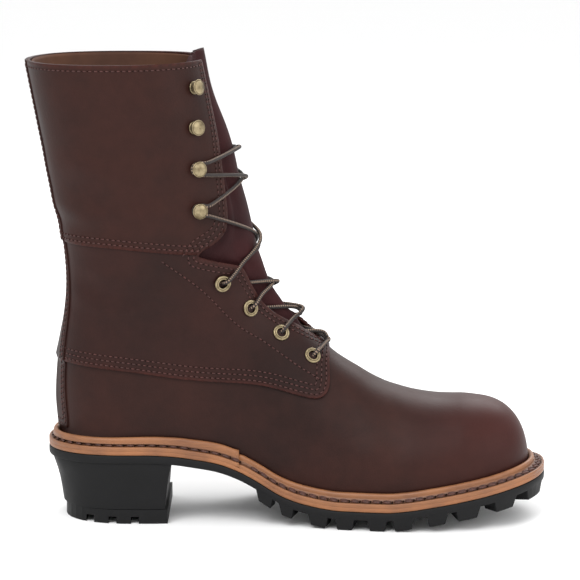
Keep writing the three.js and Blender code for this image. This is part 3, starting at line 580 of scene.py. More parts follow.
def leatherMaterial(name, look, grainDepth=0.05, roughLow=0.4, roughHigh=0.58):
    material, tree, surface, place = shaderMaterial(
        name, 0.5, coat=look["coat"], coatRoughness=0.4, specular=0.13)
    cloud = noise(tree, place, 14.0, 5.0)
    fine = noise(tree, place, 120.0, 6.0, 0.6)
    colour = ramp(tree, cloud, [(0.32, look["dark"]), (0.62, look["base"])])
    worn = put(tree, "ShaderNodeAttribute", attribute_name="wearAndShade").outputs["Fac"]
    patch = calculate(tree, "MULTIPLY", worn, remap(tree, fine, 0.3, 0.7, 0.5, 1.1))
    colour = blendColour(tree, patch, colour, look["pull"])
    speck = remap(tree, fine, 0.35, 0.7, 0.9, 1.08)
    colour = blendColour(tree, 1.0, colour, put(tree, "ShaderNodeCombineColor", {
        "Red": speck, "Green": speck, "Blue": speck}).outputs["Color"], "MULTIPLY")
    if "toeHighlight" in look:  # painted highlight: a lighter, redder tint over the top of the toe
        spot = put(tree, "ShaderNodeSeparateXYZ", {"Vector": place}).outputs
        front = remap(tree, spot["X"], 0.06, 0.15, 0.0, 0.65)
        over = remap(tree, spot["Z"], 0.03, 0.085, 0.25, 1.0)
        colour = blendColour(tree, calculate(tree, "MULTIPLY", front, over), colour, look["toeHighlight"])
    tree.links.new(colour, surface.inputs["Base Color"])
    rough = remap(tree, cloud, 0.3, 0.7, roughLow, roughHigh)
    tree.links.new(rough, surface.inputs["Roughness"])
    cells = put(tree, "ShaderNodeTexVoronoi", {"Vector": place, "Scale": look["grain"]}, feature="SMOOTH_F1")
    pores = noise(tree, place, look["pores"], 2.0)
    height = calculate(tree, "ADD", cells.outputs["Distance"], calculate(tree, "MULTIPLY", pores, 0.35))
    slow = noise(tree, place, 60.0, 4.0)
    first = put(tree, "ShaderNodeBump", {"Strength": 0.25, "Distance": 0.0006, "Height": slow})
    bump = put(tree, "ShaderNodeBump", {
        "Strength": grainDepth * 4, "Distance": 0.00025, "Height": height,
        "Normal": first.outputs["Normal"]})
    tree.links.new(bump.outputs["Normal"], surface.inputs["Normal"])
    return material


# The vamp gets a painted highlight, a lighter and redder tint over the top of its toe
vampLeather = leatherMaterial("vampLeather", {**leatherLook, "toeHighlight": screen(74, 30, 27)})
quarterLeather = leatherMaterial("quarterLeather", {**leatherLook, "base": screen(43, 21, 17)})
shaftLeather = leatherMaterial("shaftLeather", {**leatherLook, "base": screen(45, 22, 17)}, grainDepth=0.07)
tongueLeather = leatherMaterial("tongueLeather", {
    **leatherLook, "base": screen(52, 21, 22), "dark": screen(33, 13, 15), "pull": screen(64, 28, 26),
    "coat": 0.0}, grainDepth=0.08, roughLow=0.58, roughHigh=0.75)
liningMaterial = leatherMaterial("liningMaterial", {
    **leatherLook, "base": screen(96, 66, 50), "dark": screen(74, 50, 40), "coat": 0.0},
    grainDepth=0.04, roughLow=0.7, roughHigh=0.85)

weltLook = {"base": screen(134, 86, 50), "dark": screen(104, 62, 34), "edge": screen(150, 98, 58)}


def weltMaterial(name, look):
    material, tree, surface, place = shaderMaterial(name, 0.5, coat=0.08, coatRoughness=0.4)
    cloud = noise(tree, place, 45.0, 5.0)
    fibres = noise(tree, put(tree, "ShaderNodeMapping", {
        "Vector": place, "Scale": (0.25, 0.25, 3.0)}).outputs["Vector"], 500.0, 4.0)
    colour = ramp(tree, cloud, [(0.3, look["dark"]), (0.65, look["base"])])
    colour = blendColour(tree, remap(tree, fibres, 0.35, 0.75, 0.0, 0.4), colour, look["edge"])
    # painted shade: the welt darkens in its stitch channel and on the lip's inner side by the upper
    weltShade = put(tree, "ShaderNodeAttribute", attribute_name="wearAndShade").outputs["Fac"]
    colour = blendColour(tree, weltShade, colour, screen(70, 44, 32))
    tree.links.new(colour, surface.inputs["Base Color"])
    tree.links.new(remap(tree, cloud, 0.3, 0.7, 0.45, 0.6), surface.inputs["Roughness"])
    bump = put(tree, "ShaderNodeBump", {"Strength": 0.2, "Distance": 0.0004, "Height": fibres})
    tree.links.new(bump.outputs["Normal"], surface.inputs["Normal"])
    return material


weltLeather = weltMaterial("weltLeather", weltLook)
midsoleLeather = weltMaterial("midsoleLeather", {**weltLook, "base": screen(142, 90, 52)})


def rubberMaterial(name):
    material, tree, surface, place = shaderMaterial(name, 0.6, specular=0.22)
    dust = noise(tree, place, 55.0, 6.0, 0.6)
    colour = ramp(tree, dust, [(0.35, screen(8, 8, 9)), (0.75, screen(19, 19, 20))])
    tree.links.new(colour, surface.inputs["Base Color"])
    tree.links.new(remap(tree, dust, 0.3, 0.7, 0.5, 0.72), surface.inputs["Roughness"])
    bump = put(tree, "ShaderNodeBump", {
        "Strength": 0.25, "Distance": 0.0003, "Height": noise(tree, place, 900.0, 3.0)})
    tree.links.new(bump.outputs["Normal"], surface.inputs["Normal"])
    return material


blackRubber = rubberMaterial("blackRubber")


def brassMaterial(name):
    material, tree, surface, place = shaderMaterial(name, 0.35, metallic=1.0)
    stain = noise(tree, place, 260.0, 5.0, 0.6)
    hollow = put(tree, "ShaderNodeAttribute", attribute_name="wearAndShade").outputs["Fac"]
    colour = ramp(tree, stain, [(0.3, screen(100, 88, 66)), (0.6, screen(158, 144, 114))])
    colour = blendColour(tree, hollow, colour, screen(58, 46, 34))
    tree.links.new(colour, surface.inputs["Base Color"])
    tree.links.new(remap(tree, stain, 0.3, 0.7, 0.3, 0.5), surface.inputs["Roughness"])
    return material


antiqueBrass = brassMaterial("antiqueBrass")


def threadMaterial(name, light, dark):
    material, tree, surface, place = shaderMaterial(name, 0.6)
    twist = noise(tree, place, 1500.0, 2.0)
    tree.links.new(ramp(tree, twist, [(0.35, dark), (0.65, light)]), surface.inputs["Base Color"])
    bump = put(tree, "ShaderNodeBump", {"Strength": 0.4, "Distance": 0.0002, "Height": twist})
    tree.links.new(bump.outputs["Normal"], surface.inputs["Normal"])
    return material


redThread = threadMaterial("redThread", screen(78, 32, 26), screen(48, 22, 18))
darkThread = threadMaterial("darkThread", screen(84, 44, 32), screen(40, 22, 18))


# The lace: a dark core with beige threads along both edges, plaited
def laceMaterial(name):
    material, tree, surface, place = shaderMaterial(name, 0.75)
    uv = put(tree, "ShaderNodeUVMap", uv_map="along").outputs["UV"]
    parts = put(tree, "ShaderNodeSeparateXYZ", {"Vector": uv})
    run, turn = parts.outputs["X"], parts.outputs["Y"]
    edge = calculate(tree, "SINE", calculate(tree, "MULTIPLY", turn, 4 * math.pi))
    plait = calculate(tree, "SINE", calculate(tree, "MULTIPLY", run, 2 * math.pi / 1.5))
    tick = calculate(tree, "ADD", edge, calculate(tree, "MULTIPLY", plait, 0.6))
    light = remap(tree, tick, 0.75, 1.15, 0.0, 1.0)
    colour = blendColour(tree, light, screen(36, 28, 25), screen(130, 108, 90))
    tree.links.new(colour, surface.inputs["Base Color"])
    along = calculate(tree, "MULTIPLY", run, 2 * math.pi / 1.2)
    around = calculate(tree, "MULTIPLY", turn, 6 * math.pi)
    weave = calculate(tree, "SINE", calculate(tree, "ADD", along, around))
    bump = put(tree, "ShaderNodeBump", {"Strength": 0.5, "Distance": 0.0003, "Height": weave})
    tree.links.new(bump.outputs["Normal"], surface.inputs["Normal"])
    return material


plaitedLace = laceMaterial("plaitedLace")
print("boot: materials ready")


# A mesh object from points in millimetres, with an optional value for each point: rubbed edges on the
# leather, patina on the brass, painted shade on the welt
def makePiece(name, points, faces, material, wearAndShade=None, smooth=True):
    mesh = bpy.data.meshes.new(name)
    mesh.from_pydata(toWorld(points).tolist(), [], [list(map(int, face)) for face in faces])
    mesh.validate()
    if wearAndShade is not None:
        layer = mesh.attributes.new("wearAndShade", "FLOAT", "POINT")
        layer.data.foreach_set("value", np.asarray(wearAndShade, np.float32))
    mesh.materials.append(material)
    if smooth:
        mesh.polygons.foreach_set("use_smooth", [True] * len(mesh.polygons))
    mesh.update()
    piece = bpy.data.objects.new(name, mesh)
    scene.collection.objects.link(piece)
    return piece


def finished(piece, node=None):
    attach(piece, "root")
    if node:
        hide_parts(node)
    return piece


# Values that tell where a panel is: positive inside it, in millimetres
quarterRows = [
    (-0.1, 0.215), (0.13, 0.195), (0.287, 0.171), (0.42, 0.156), (0.505, 0.13), (0.539, 0.121),
    (0.558, 0.126), (0.569, 0.142), (0.572, 0.168), (0.57, 0.21), (0.568, 0.3),
]
shaftRows = [(-0.1, 0.53), (0.1, 0.525), (0.2, 0.515), (0.31, 0.505), (0.5, 0.505)]
panelSizes = {
    "quarter": 1.7,
    "shaft": 1.0,
    "backstay": 0.9,
    "backstayWidth": 24.0,
    "vampThickness": 2.2,
    "quarterThickness": 2.1,
    "lap": 11.0,  # how far one panel runs on under the next
}


def sideView(rows):
    return rounded([(station * last["length"], legLevel(rise)) for station, rise in rows], 6)


def overEdge(points, rows):
    line = sideView(rows)
    outline = np.concatenate([line, [[line[-1, 0], 600.0], [line[0, 0], 600.0]]])
    return insideOutline(points[:, 0], points[:, 2], outline)


def throatGap(points):
    half = throatHalf(riseAt(points[:, 2])) * last["legWidth"]
    return np.where(points[:, 0] > 0.66 * last["legDepth"], np.abs(points[:, 1]) - half, 50.0)


def collarGap(points):
    return legLevel(1.0) - points[:, 2]


def nearTo(points, line):
    best = np.full(len(points), 1e9)
    for at in line:
        best = np.minimum(best, ((points - at) ** 2).sum(axis=1))
    return np.sqrt(best)


# Soft troughs and ridges, listed one by one: side (0 for both), points seen from the side, width and depth
creases = [
    {"side": 0, "line": [(112, 150), (96, 146), (78, 150), (62, 158)], "width": 7.0, "depth": 0.9},
    {"side": 0, "line": [(60, 128), (78, 134), (98, 132)], "width": 9.0, "depth": 0.7},
    {"side": -1, "line": [(20, 150), (34, 144), (50, 146)], "width": 7.0, "depth": 0.8},
    {"side": 1, "line": [(24, 154), (40, 148), (60, 152)], "width": 7.0, "depth": 0.8},
    {"side": 0, "line": [(168, 92), (182, 76), (190, 60)], "width": 10.0, "depth": 0.5},
    {"side": 0, "line": [(196, 84), (204, 66), (206, 50)], "width": 9.0, "depth": 0.4},
    {"side": -1, "line": [(10, 214), (34, 206), (60, 210)], "width": 9.0, "depth": 0.9},
    {"side": 1, "line": [(10, 236), (30, 226), (58, 230)], "width": 9.0, "depth": 0.9},
    {"side": -1, "line": [(4, 190), (22, 184), (44, 190)], "width": 6.0, "depth": 0.6},
]


def folds(points):
    total = np.zeros(len(points))
    for crease in creases:
        line = rounded(crease["line"], 6)
        best = np.full(len(points), 1e9)
        for px, pz in line:
            best = np.minimum(best, (points[:, 0] - px) ** 2 + (points[:, 2] - pz) ** 2)
        far = np.sqrt(best) / crease["width"]
        trough = -np.exp(-far ** 2) + 0.45 * np.exp(-((far - 1.5) ** 2) / 0.5)
        if crease["side"]:
            trough = trough * smoothStep(2.0, 14.0, points[:, 1] * crease["side"])
        total += crease["depth"] * trough
    return total


def raised(columns, offset):
    points = columns[:, :3]
    return points + columns[:, 3:6] * (np.asarray(offset) + folds(points))[:, None]


# A panel of leather: the base sheet cut to its outline, lifted to its layer and given a thickness
# Eases the cut edge of a sheet so that it runs without steps
def evened(columns, faces, rounds=8):
    edges = np.sort(np.concatenate([faces[:, [0, 1]], faces[:, [1, 2]], faces[:, [2, 0]]]), axis=1)
    kinds, counts = np.unique(edges, axis=0, return_counts=True)
    rim = kinds[counts == 1]
    free = np.bincount(rim.ravel(), minlength=len(columns)) == 2
    out = columns.copy()
    for _ in range(rounds):
        total = np.zeros_like(out)
        np.add.at(total, rim[:, 0], out[rim[:, 1]])
        np.add.at(total, rim[:, 1], out[rim[:, 0]])
        out[free] = out[free] * 0.5 + total[free] * 0.25
    return out


def cutPanel(*values):
    columns, faces = base, baseFaces
    for value in values:
        columns, faces = clipped(columns, faces, value(columns[:, :3]))
    return evened(columns, faces), faces


def makePanel(name, values, offset, thickness, material):
    columns, faces = cutPanel(*values)
    edges = []
    for value in values:
        line = contours(base, baseFaces, value(base[:, :3]), 0.0)
        edges.extend(line)
    wearAndShade = np.zeros(len(columns))
    if edges:
        border = np.concatenate(edges)[::3, :3]
        wearAndShade = 0.55 * np.exp(-(nearTo(columns[:, :3], border) / 1.6) ** 2)
    piece = makePiece(name, raised(columns, offset), faces, material, wearAndShade)
    wall = piece.modifiers.new("thickness", "SOLIDIFY")
    wall.thickness = thickness * mm
    wall.offset = -1
    return piece


def backStrip(points):
    value = panelSizes["backstayWidth"] / 2 - np.abs(points[:, 1])
    value = np.where(points[:, 0] < last["heelEnd"] + 20, value, -50)
    return np.minimum(value, points[:, 2] - heelRim - 6)


def quarterGap(points):
    return overEdge(points, quarterRows)


def shaftGap(points):
    return overEdge(points, shaftRows)


lap = panelSizes["lap"]
vamp = makePanel("vamp", [lambda p: lap - quarterGap(p)], 0.0, panelSizes["vampThickness"], vampLeather)
quarters = makePanel("quarters", [quarterGap, throatGap, lambda p: lap - shaftGap(p)],
                     panelSizes["quarter"], panelSizes["quarterThickness"], quarterLeather)
shaftOffset = panelSizes["quarter"] + panelSizes["shaft"]
shaft = makePanel("shaft", [shaftGap, throatGap, collarGap], shaftOffset,
                  panelSizes["quarterThickness"], shaftLeather)


def layerOffset(points):
    step = smoothStep(-1.0, 1.0, shaftGap(points)) * panelSizes["shaft"]
    return panelSizes["quarter"] * smoothStep(-1.5, 1.5, quarterGap(points)) + step + panelSizes["backstay"]


stripColumns, stripFaces = clipped(base, baseFaces, backStrip(base[:, :3]))
stripColumns, stripFaces = clipped(stripColumns, stripFaces, collarGap(stripColumns[:, :3]))
backstay = makePiece("backstay", raised(stripColumns, layerOffset(stripColumns[:, :3])), stripFaces,
                     shaftLeather, np.zeros(len(stripColumns)))
wall = backstay.modifiers.new("thickness", "SOLIDIFY")
wall.thickness = 1.2 * mm
wall.offset = -1
for piece in (vamp, quarters, shaft, backstay):
    finished(piece, "upper")
print("boot: leather panels ready")


# Lining: one thin sheet inside all the panels, cut back a little from the throat
def liningOffset(points):
    return -0.55 - 1.7 * (1 - smoothStep(0.15, 0.45, riseAt(points[:, 2])))


liningColumns, liningFaces = clipped(base, baseFaces, throatGap(base[:, :3]) - 1.5)
liningColumns, liningFaces = clipped(liningColumns, liningFaces, collarGap(liningColumns[:, :3]) - 1.0)
lining = makePiece("lining", raised(liningColumns, liningOffset(liningColumns[:, :3])), liningFaces,
                   liningMaterial, np.zeros(len(liningColumns)))
wall = lining.modifiers.new("thickness", "SOLIDIFY")
wall.thickness = 0.6 * mm
wall.offset = -1
finished(lining, "upper")

sole = {
    "loop": 420,
    "joint": 0.385,
    "jointSlot": 0.1,
    "jointStep": 1.6,
    "jointRun": 0.12,
    "treadDepth": 6.9,
    "lugTaper": 3.6,
    "lugWiden": 2.4,
    "lugRoot": 0.8,
}


def marginAt(x):
    return mix(last["heelMargin"], last["weltMargin"], smoothStep(0.2, 0.5, x / last["length"]))


# The plan of the last at a height over its rim: turn 0 is the heel, 0.5 the toe, inner side first
def planLoop(over, count=sole["loop"]):
    turn = np.arange(count) / count
    toe = reach([[last["length"] / 2, 0, float(rimHeight(last["length"])) + over]], [[1, 0, 0]])[0, 0]
    back = reach([[last["heelEnd"], 0, heelRim + over]], [[-1, 0, 0]])[0, 0]
    x = mix(back, toe, (1 - np.cos(2 * math.pi * turn)) / 2)
    side = np.where(turn < 0.5, -1.0, 1.0)
    start = np.stack([x, centreLine(x), rimHeight(x) + over], axis=1)
    ray = np.stack([0 * x, side, 0 * x], axis=1)
    y = reach(start, ray)[:, 1]
    y[0] = start[0, 1]
    y[count // 2] = start[count // 2, 1]
    line = np.stack([x, y, turn], axis=1)
    ahead = np.roll(line, -1, axis=0) - np.roll(line, 1, axis=0)
    size = np.hypot(ahead[:, 0], ahead[:, 1])
    out = np.stack([ahead[:, 1], -ahead[:, 0]], axis=1) / size[:, None]
    return line, out


planLow, outLow = planLoop(0.0)
planLip, outLip = planLoop(5.0)


# Points round the sole, a distance out from the last and a height over the midsole's underside
def soleLoop(out, height, lip=False):
    line, normal = (planLip, outLip) if lip else (planLow, outLow)
    far = out(line[:, 0]) if callable(out) else out
    xy = line[:, :2] + normal * np.reshape(far, (-1, 1))
    rise = height(line[:, 2]) if callable(height) else height
    return np.column_stack([xy, soleUnder(xy[:, 0]) + rise])


def bridge(loops, closedRound=True, closedAlong=False):
    count = len(loops[0])
    faces = []
    rings = len(loops) if closedAlong else len(loops) - 1
    for i in range(rings):
        k = (i + 1) % len(loops)
        for j in range(count if closedRound else count - 1):
            n = (j + 1) % count
            faces.append((i * count + j, i * count + n, k * count + n, k * count + j))
    return faces


# A slab with the outline of the sole: rings up its edge, closed by strips across its top and bottom
def makeSlab(name, rings, material, wearAndShade=None):
    points = np.concatenate(rings)
    faces = bridge(rings)
    count = len(rings[0])
    for ring, flip in ((0, True), (len(rings) - 1, False)):
        first = ring * count
        for j in range(count // 2):
            a, b = first + j, first + j + 1
            c, d = first + (count - j - 1) % count, first + (count - j) % count
            quad = [a, b, c, d] if j else [a, b, c]
            faces.append(quad[::-1] if flip else quad)
    piece = makePiece(name, points, faces, material, wearAndShade)
    return piece


def edged(margin, low, high, curve=0.35, tuck=0.5):
    return [
        soleLoop(lambda x: marginAt(x) + margin - tuck, low),
        soleLoop(lambda x: marginAt(x) + margin - 0.1, low + curve),
        soleLoop(lambda x: marginAt(x) + margin, (low + high) / 2),
        soleLoop(lambda x: marginAt(x) + margin - 0.1, high - curve),
        soleLoop(lambda x: marginAt(x) + margin - tuck, high),
    ]


midsoleRings = edged(0.0, 0.0, last["midsole"])
midsoleRings[3] = soleLoop(marginAt, last["midsole"] - 0.1)
midsoleRings[4] = soleLoop(lambda x: marginAt(x) - 0.05, last["midsole"])
midsole = makeSlab("midsoleEdge", midsoleRings, midsoleLeather, np.zeros(5 * sole["loop"]))
finished(midsole, "midsole")
under = -last["clearance"] - last["outsole"]
outsole = makeSlab("outsoleBase", edged(0.1, under, -last["clearance"], 0.5, 0.4), blackRubber,
                   np.zeros(5 * sole["loop"]))
finished(outsole, "outsole")


# Lugs: blocks along both edges of the forefoot and chevrons down its middle, narrower at the floor
edgeLugs = [
    (0.423, 0.453, 20), (0.472, 0.498, 26), (0.536, 0.57, 20), (0.59, 0.624, 26), (0.656, 0.69, 20),
    (0.708, 0.744, 26), (0.775, 0.81, 20), (0.832, 0.872, 26), (0.905, 0.94, 20), (0.965, 0.992, 24),
]
centreLugs = {"stations": [0.535, 0.625, 0.715, 0.805, 0.89], "length": 9.0, "width": 15.0, "sweep": 5.0}


def turnAt(station):
    return math.acos(1 - 2 * min(1, max(0, station))) / (2 * math.pi)


def lugEdge(turn, out):
    count = len(planLow)
    at = (turn % 1) * count
    i, t = int(at) % count, at - int(at)
    k = (i + 1) % count
    line = mix(planLow[i, :2], planLow[k, :2], t)
    normal = mix(outLow[i], outLow[k], t)
    return line + normal / np.linalg.norm(normal) * (marginAt(line[0]) + out)


def lugLoop(low, high, deep, side, shrink):
    inset = shrink / last["length"] / 2
    stations = np.linspace(low + inset, high - inset, 5)
    turns = [turnAt(s) if side < 0 else 1 - turnAt(s) for s in stations]
    outer = [lugEdge(turn, 0.05 - shrink / 3) for turn in turns]
    inner = [lugEdge(turn, shrink - deep) for turn in turns]
    return outer + inner[::-1]


def chevronLoop(station, shrink):
    x = station * last["length"]
    a = centreLugs["length"] / 2 - shrink / 2
    b = centreLugs["width"] / 2 - shrink / 2
    c = centreLugs["sweep"]
    corners = [(x - a, -b), (x - a + c, 0), (x - a, b), (x + a, b), (x + a + c, 0), (x + a, -b)]
    return [np.array([px, py + float(centreLine(x))]) for px, py in corners]


def makeLugs():
    points = []
    faces = []

    def addLug(upper, lower):
        first = len(points)
        count = len(upper)
        for loop, height in ((upper, under + sole["lugRoot"]), (lower, under - sole["treadDepth"])):
            points.extend([p[0], p[1], float(soleUnder(p[0])) + height] for p in loop)
        for j in range(count):
            k = (j + 1) % count
            faces.append((first + j, first + k, first + count + k, first + count + j))
        faces.append(tuple(first + j for j in range(count))[::-1])
        faces.append(tuple(first + count + j for j in range(count)))

    for low, high, deep in edgeLugs:
        high += sole["lugWiden"] / last["length"]
        for side in (-1, 1):
            addLug(lugLoop(low, high, deep, side, 0), lugLoop(low, high, deep, side, sole["lugTaper"]))
    for station in centreLugs["stations"]:
        addLug(chevronLoop(station, 0), chevronLoop(station, sole["lugTaper"]))
    return makePiece("lugs", np.array(points), faces, blackRubber, smooth=False)


# Turns every face of a closed mesh outwards
def turnOut(piece):
    work = bmesh.new()
    work.from_mesh(piece.data)
    bmesh.ops.recalc_face_normals(work, faces=work.faces)
    work.to_mesh(piece.data)
    work.free()


def bevelled(piece, width, segments=2, angle=35):
    bevel = piece.modifiers.new("edges", "BEVEL")
    bevel.width = width * mm
    bevel.segments = segments
    bevel.limit_method = "ANGLE"
    bevel.angle_limit = math.radians(angle)
    bevel.harden_normals = False
    return piece


lugs = makeLugs()
turnOut(lugs)
bevelled(lugs, 0.6)
finished(lugs, "outsole")

# The heel: a tapered block over the lift, which keeps its own mesh
heel = {
    "length": 78.0, "taper": 9.0, "slant": 5.0, "lift": 9.0,
    "shape": [(0, 1), (0.5, 0.72), (1, 0.2)],
    "turns": 48,
}


def heelLoop(taper, height):
    breast = heel["length"] - heel["slant"] * taper - last["heelMargin"]
    drawn = heel["taper"] * taper / 2
    end = turnAt((heel["length"] - last["heelMargin"]) / last["length"])
    loop = []
    for i in range(-heel["turns"], heel["turns"] + 1):
        x, y = lugEdge(end * i / heel["turns"], -drawn)
        forward = (1 - (x + last["heelMargin"]) / heel["length"]) * drawn
        loop.append([min(x + forward, breast), y, height(x)])
    return np.array(loop)


def makeStack(name, loops, material):
    points = np.concatenate(loops)
    faces = bridge(loops)
    count = len(loops[0])
    for ring in (0, len(loops) - 1):
        first = ring * count
        for j in range(count // 2):
            faces.append((first + j, first + j + 1, first + count - j - 2, first + count - j - 1)
                         if j + 1 < count // 2 else (first + j, first + j + 1, first + count - j - 1))
    piece = makePiece(name, points, faces, material, smooth=False)
    turnOut(piece)
    return piece


heelTaper = through(heel["shape"])
heelLevels = np.linspace(0, 1, 7)
heelBlock = makeStack("heelBlock", [
    heelLoop(float(heelTaper(share)), lambda x, share=share: mix(
        heel["lift"] + last["clearance"], float(soleUnder(x)) + under - last["clearance"] + 0.2, share))
    for share in heelLevels], blackRubber)
bevelled(heelBlock, 0.5, 2, 50)
finished(heelBlock, "heel_block")
for polygon in heelBlock.data.polygons:
    polygon.use_smooth = True
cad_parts["heel_lift"].data.materials[0] = blackRubber
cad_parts["insole"].data.materials[0] = liningMaterial

# The welt: a storm lip along the leather, a stitched channel and a tan edge, open at its joint
weltProfile = [  # out from the last, height over the midsole's underside, on the lip or not
    (0.4, 2.65, 0), (None, 2.65, 0), (0.0, 2.75, 1), (0.0, 4.6, 1), (-0.15, 5.0, 1), (-0.6, 5.25, 1),
    (-1.2, 5.2, 1), (-1.8, 5.1, 1), (-3.0, 5.3, 1), (-4.0, 5.6, 1), (-5.0, 6.0, 1),
    (4.3, 6.75, 2), (3.9, 7.1, 2), (3.95, 7.7, 2), (3.95, 8.7, 2), (3.7, 9.5, 2), (3.2, 10.1, 2),
    (2.4, 10.4, 2), (1.4, 10.3, 2), (0.75, 9.8, 2), (0.45, 9.0, 2),
]


def weltLoop(out, height, kind):
    if kind == 0:
        reachOut = (lambda x: marginAt(x) - 0.05) if out is None else out
        return soleLoop(reachOut, height)
    if kind == 1:
        return soleLoop(lambda x: marginAt(x) + out, height)
    joint = turnAt(sole["joint"])

    def lifted(turn):
        wrapped = np.where(turn > joint, turn, turn + 1)
        near = smoothStep(1 + joint - sole["jointRun"], 1 + joint, wrapped)
        return height + near * sole["jointStep"] * (height - 6.5) / 4

    return soleLoop(out, lifted, lip=True)


def makeWelt():
    rings = [weltLoop(*row) for row in weltProfile]
    joint = turnAt(sole["joint"])
    gap = sole["jointSlot"] / last["length"] / math.pi
    turns = planLow[:, 2]
    order = [i for i in np.argsort((turns - joint) % 1) if gap < (turns[i] - joint) % 1 < 1 - gap]
    sections = np.array([[ring[i] for ring in rings] for i in order])
    between = (sections[-1] - sections[0])[:, :2] * 0.485  # both ends run on to the joint
    sections[0][:, :2] += between
    sections[-1][:, :2] -= between
    count = len(rings)
    faces = []
    for i in range(len(sections) - 1):
        for j in range(count):
            k = (j + 1) % count
            faces.append((i * count + j, i * count + k, (i + 1) * count + k, (i + 1) * count + j))
    end = (len(sections) - 1) * count
    faces.append(tuple(range(count)))
    faces.append(tuple(end + j for j in range(count))[::-1])
    # Painted shade for each profile point: darkest in the stitch channel and on the lip's inner side
    channel = np.array([0, 0, 0, 0, 0, 0.1, 0.45, 0.8, 0.9, 0.8, 0.6,
                        0.5, 0.15, 0, 0, 0, 0, 0, 0.1, 0.5, 0.8])
    piece = makePiece("weltStrip", sections.reshape(-1, 3), faces, weltLeather,
                      np.tile(channel, len(sections)))
    turnOut(piece)
    return piece


welt = makeWelt()
finished(welt, "welt")
print("boot: sole ready")

# The tongue: a bellows behind the throat, swelling between the facings
tongueSizes = {"bulge": 6.0, "pad": 2.6, "gap": 1.2, "thickness": 2.0, "side": 16.0}


def tonguePad(rise):
    return tongueSizes["pad"] * smoothStep(0.27, 0.37, rise) * (1 - smoothStep(0.72, 0.96, rise))


def tongueOffset(points):
    rise = riseAt(points[:, 2])
    half = np.maximum(4.0, throatHalf(rise) * last["legWidth"] - 2)
    across = np.clip(np.abs(points[:, 1]) / half, 0, 1)
    swell = tongueSizes["bulge"] * np.cos(across * math.pi / 2) ** 2 * smoothStep(0.25, 0.36, rise)
    swell += tonguePad(rise) * (1 - across ** 3)
    pleat = 1.1 * np.exp(-((across - 0.86) / 0.09) ** 2) - 0.9 * np.exp(-((across - 0.66) / 0.08) ** 2)
    sag = 0.5 * np.sin(points[:, 2] / 9.0 + points[:, 1] / 14.0) * smoothStep(0.3, 0.5, rise)
    return -2.2 - tongueSizes["gap"] + swell + (pleat + sag) * smoothStep(0.4, 0.52, rise)


def tongueArea(points):
    half = np.maximum(3.0, throatHalf(riseAt(points[:, 2])) * last["legWidth"]) + tongueSizes["side"]
    value = np.where(points[:, 0] > 0.6 * last["legDepth"], half - np.abs(points[:, 1]), -50)
    value = np.minimum(value, points[:, 2] - legLevel(0.2))
    return np.minimum(value, legLevel(1.0) + 5.6 - points[:, 2] - 0.012 * points[:, 1] ** 2)


columns, faces = clipped(base, baseFaces, tongueArea(base[:, :3]))
tongue = makePiece("tongueSheet", columns[:, :3] + columns[:, 3:6] * tongueOffset(columns[:, :3])[:, None],
                   faces, tongueLeather, np.zeros(len(columns)))
wall = tongue.modifiers.new("thickness", "SOLIDIFY")
wall.thickness = tongueSizes["thickness"] * mm
wall.offset = -1
finished(tongue, "tongue")

# Eyelets and hooks, turned about their own axes and set on the leather
eyeletPlaces = [(0.5365, 0.227), (0.47, 0.286), (0.4055, 0.353), (0.348, 0.4245)]
hookPlaces = [(0.298, 0.622), (0.295, 0.729), (0.2907, 0.834), (0.2897, 0.935)]
fitting = {"segments": 36, "lift": 0.2}
eyeletProfile = [  # radius, height, darkness
    (2.55, -2.6, 1), (2.6, 0.2, 1), (2.75, 0.75, 0.5), (3.1, 1.05, 0), (3.5, 1.05, 0), (3.7, 0.8, 0.7),
    (3.85, 0.72, 0.8), (4.1, 0.8, 0.2), (4.6, 0.85, 0), (5.0, 0.65, 0), (5.2, 0.3, 0.1), (5.2, 0, 0.6),
    (3.0, 0, 1), (3.0, -2.6, 1),
]
hookProfile = [
    (0.0, 5.35, 0), (1.6, 5.3, 0), (3.0, 5.05, 0), (3.9, 4.7, 0), (4.15, 4.5, 0.8), (4.3, 4.5, 0.9),
    (4.45, 4.62, 0), (4.75, 4.45, 0), (4.85, 4.1, 0), (4.6, 3.75, 0.3), (3.6, 3.6, 0.7), (2.3, 3.2, 0.8),
    (2.0, 2.4, 0.8), (2.1, 1.2, 0.8), (3.6, 0.9, 0.5), (4.1, 0.6, 0.3), (4.15, 0, 0.5), (0.0, 0, 1),
]


def standOn(points, at, out):
    up = np.array([0.0, 0.0, 1.0])
    side = np.cross(up, out)
    side /= np.linalg.norm(side)
    return at + np.outer(points[:, 0], side) + np.outer(points[:, 1], np.cross(out, side)) + \
        np.outer(points[:, 2], out)


def turnedPiece(name, profile, at, out, closedAlong):
    segments = fitting["segments"]
    rings = []
    wearAndShade = []
    for k in range(segments):
        turn = 2 * math.pi * k / segments
        rings.append([[r * math.cos(turn), r * math.sin(turn), h] for r, h, _ in profile])
        wearAndShade.extend(row[2] for row in profile)
    points = np.array(rings).reshape(-1, 3)
    faces = bridge(rings, closedRound=closedAlong, closedAlong=True)
    points, wearAndShade = standOn(points, at, out), np.array(wearAndShade)
    piece = makePiece(name, points, faces, antiqueBrass, wearAndShade)
    work = bmesh.new()
    work.from_mesh(piece.data)
    bmesh.ops.remove_doubles(work, verts=work.verts, dist=1e-6)
    bmesh.ops.recalc_face_normals(work, faces=work.faces)
    work.to_mesh(piece.data)
    work.free()
    return piece


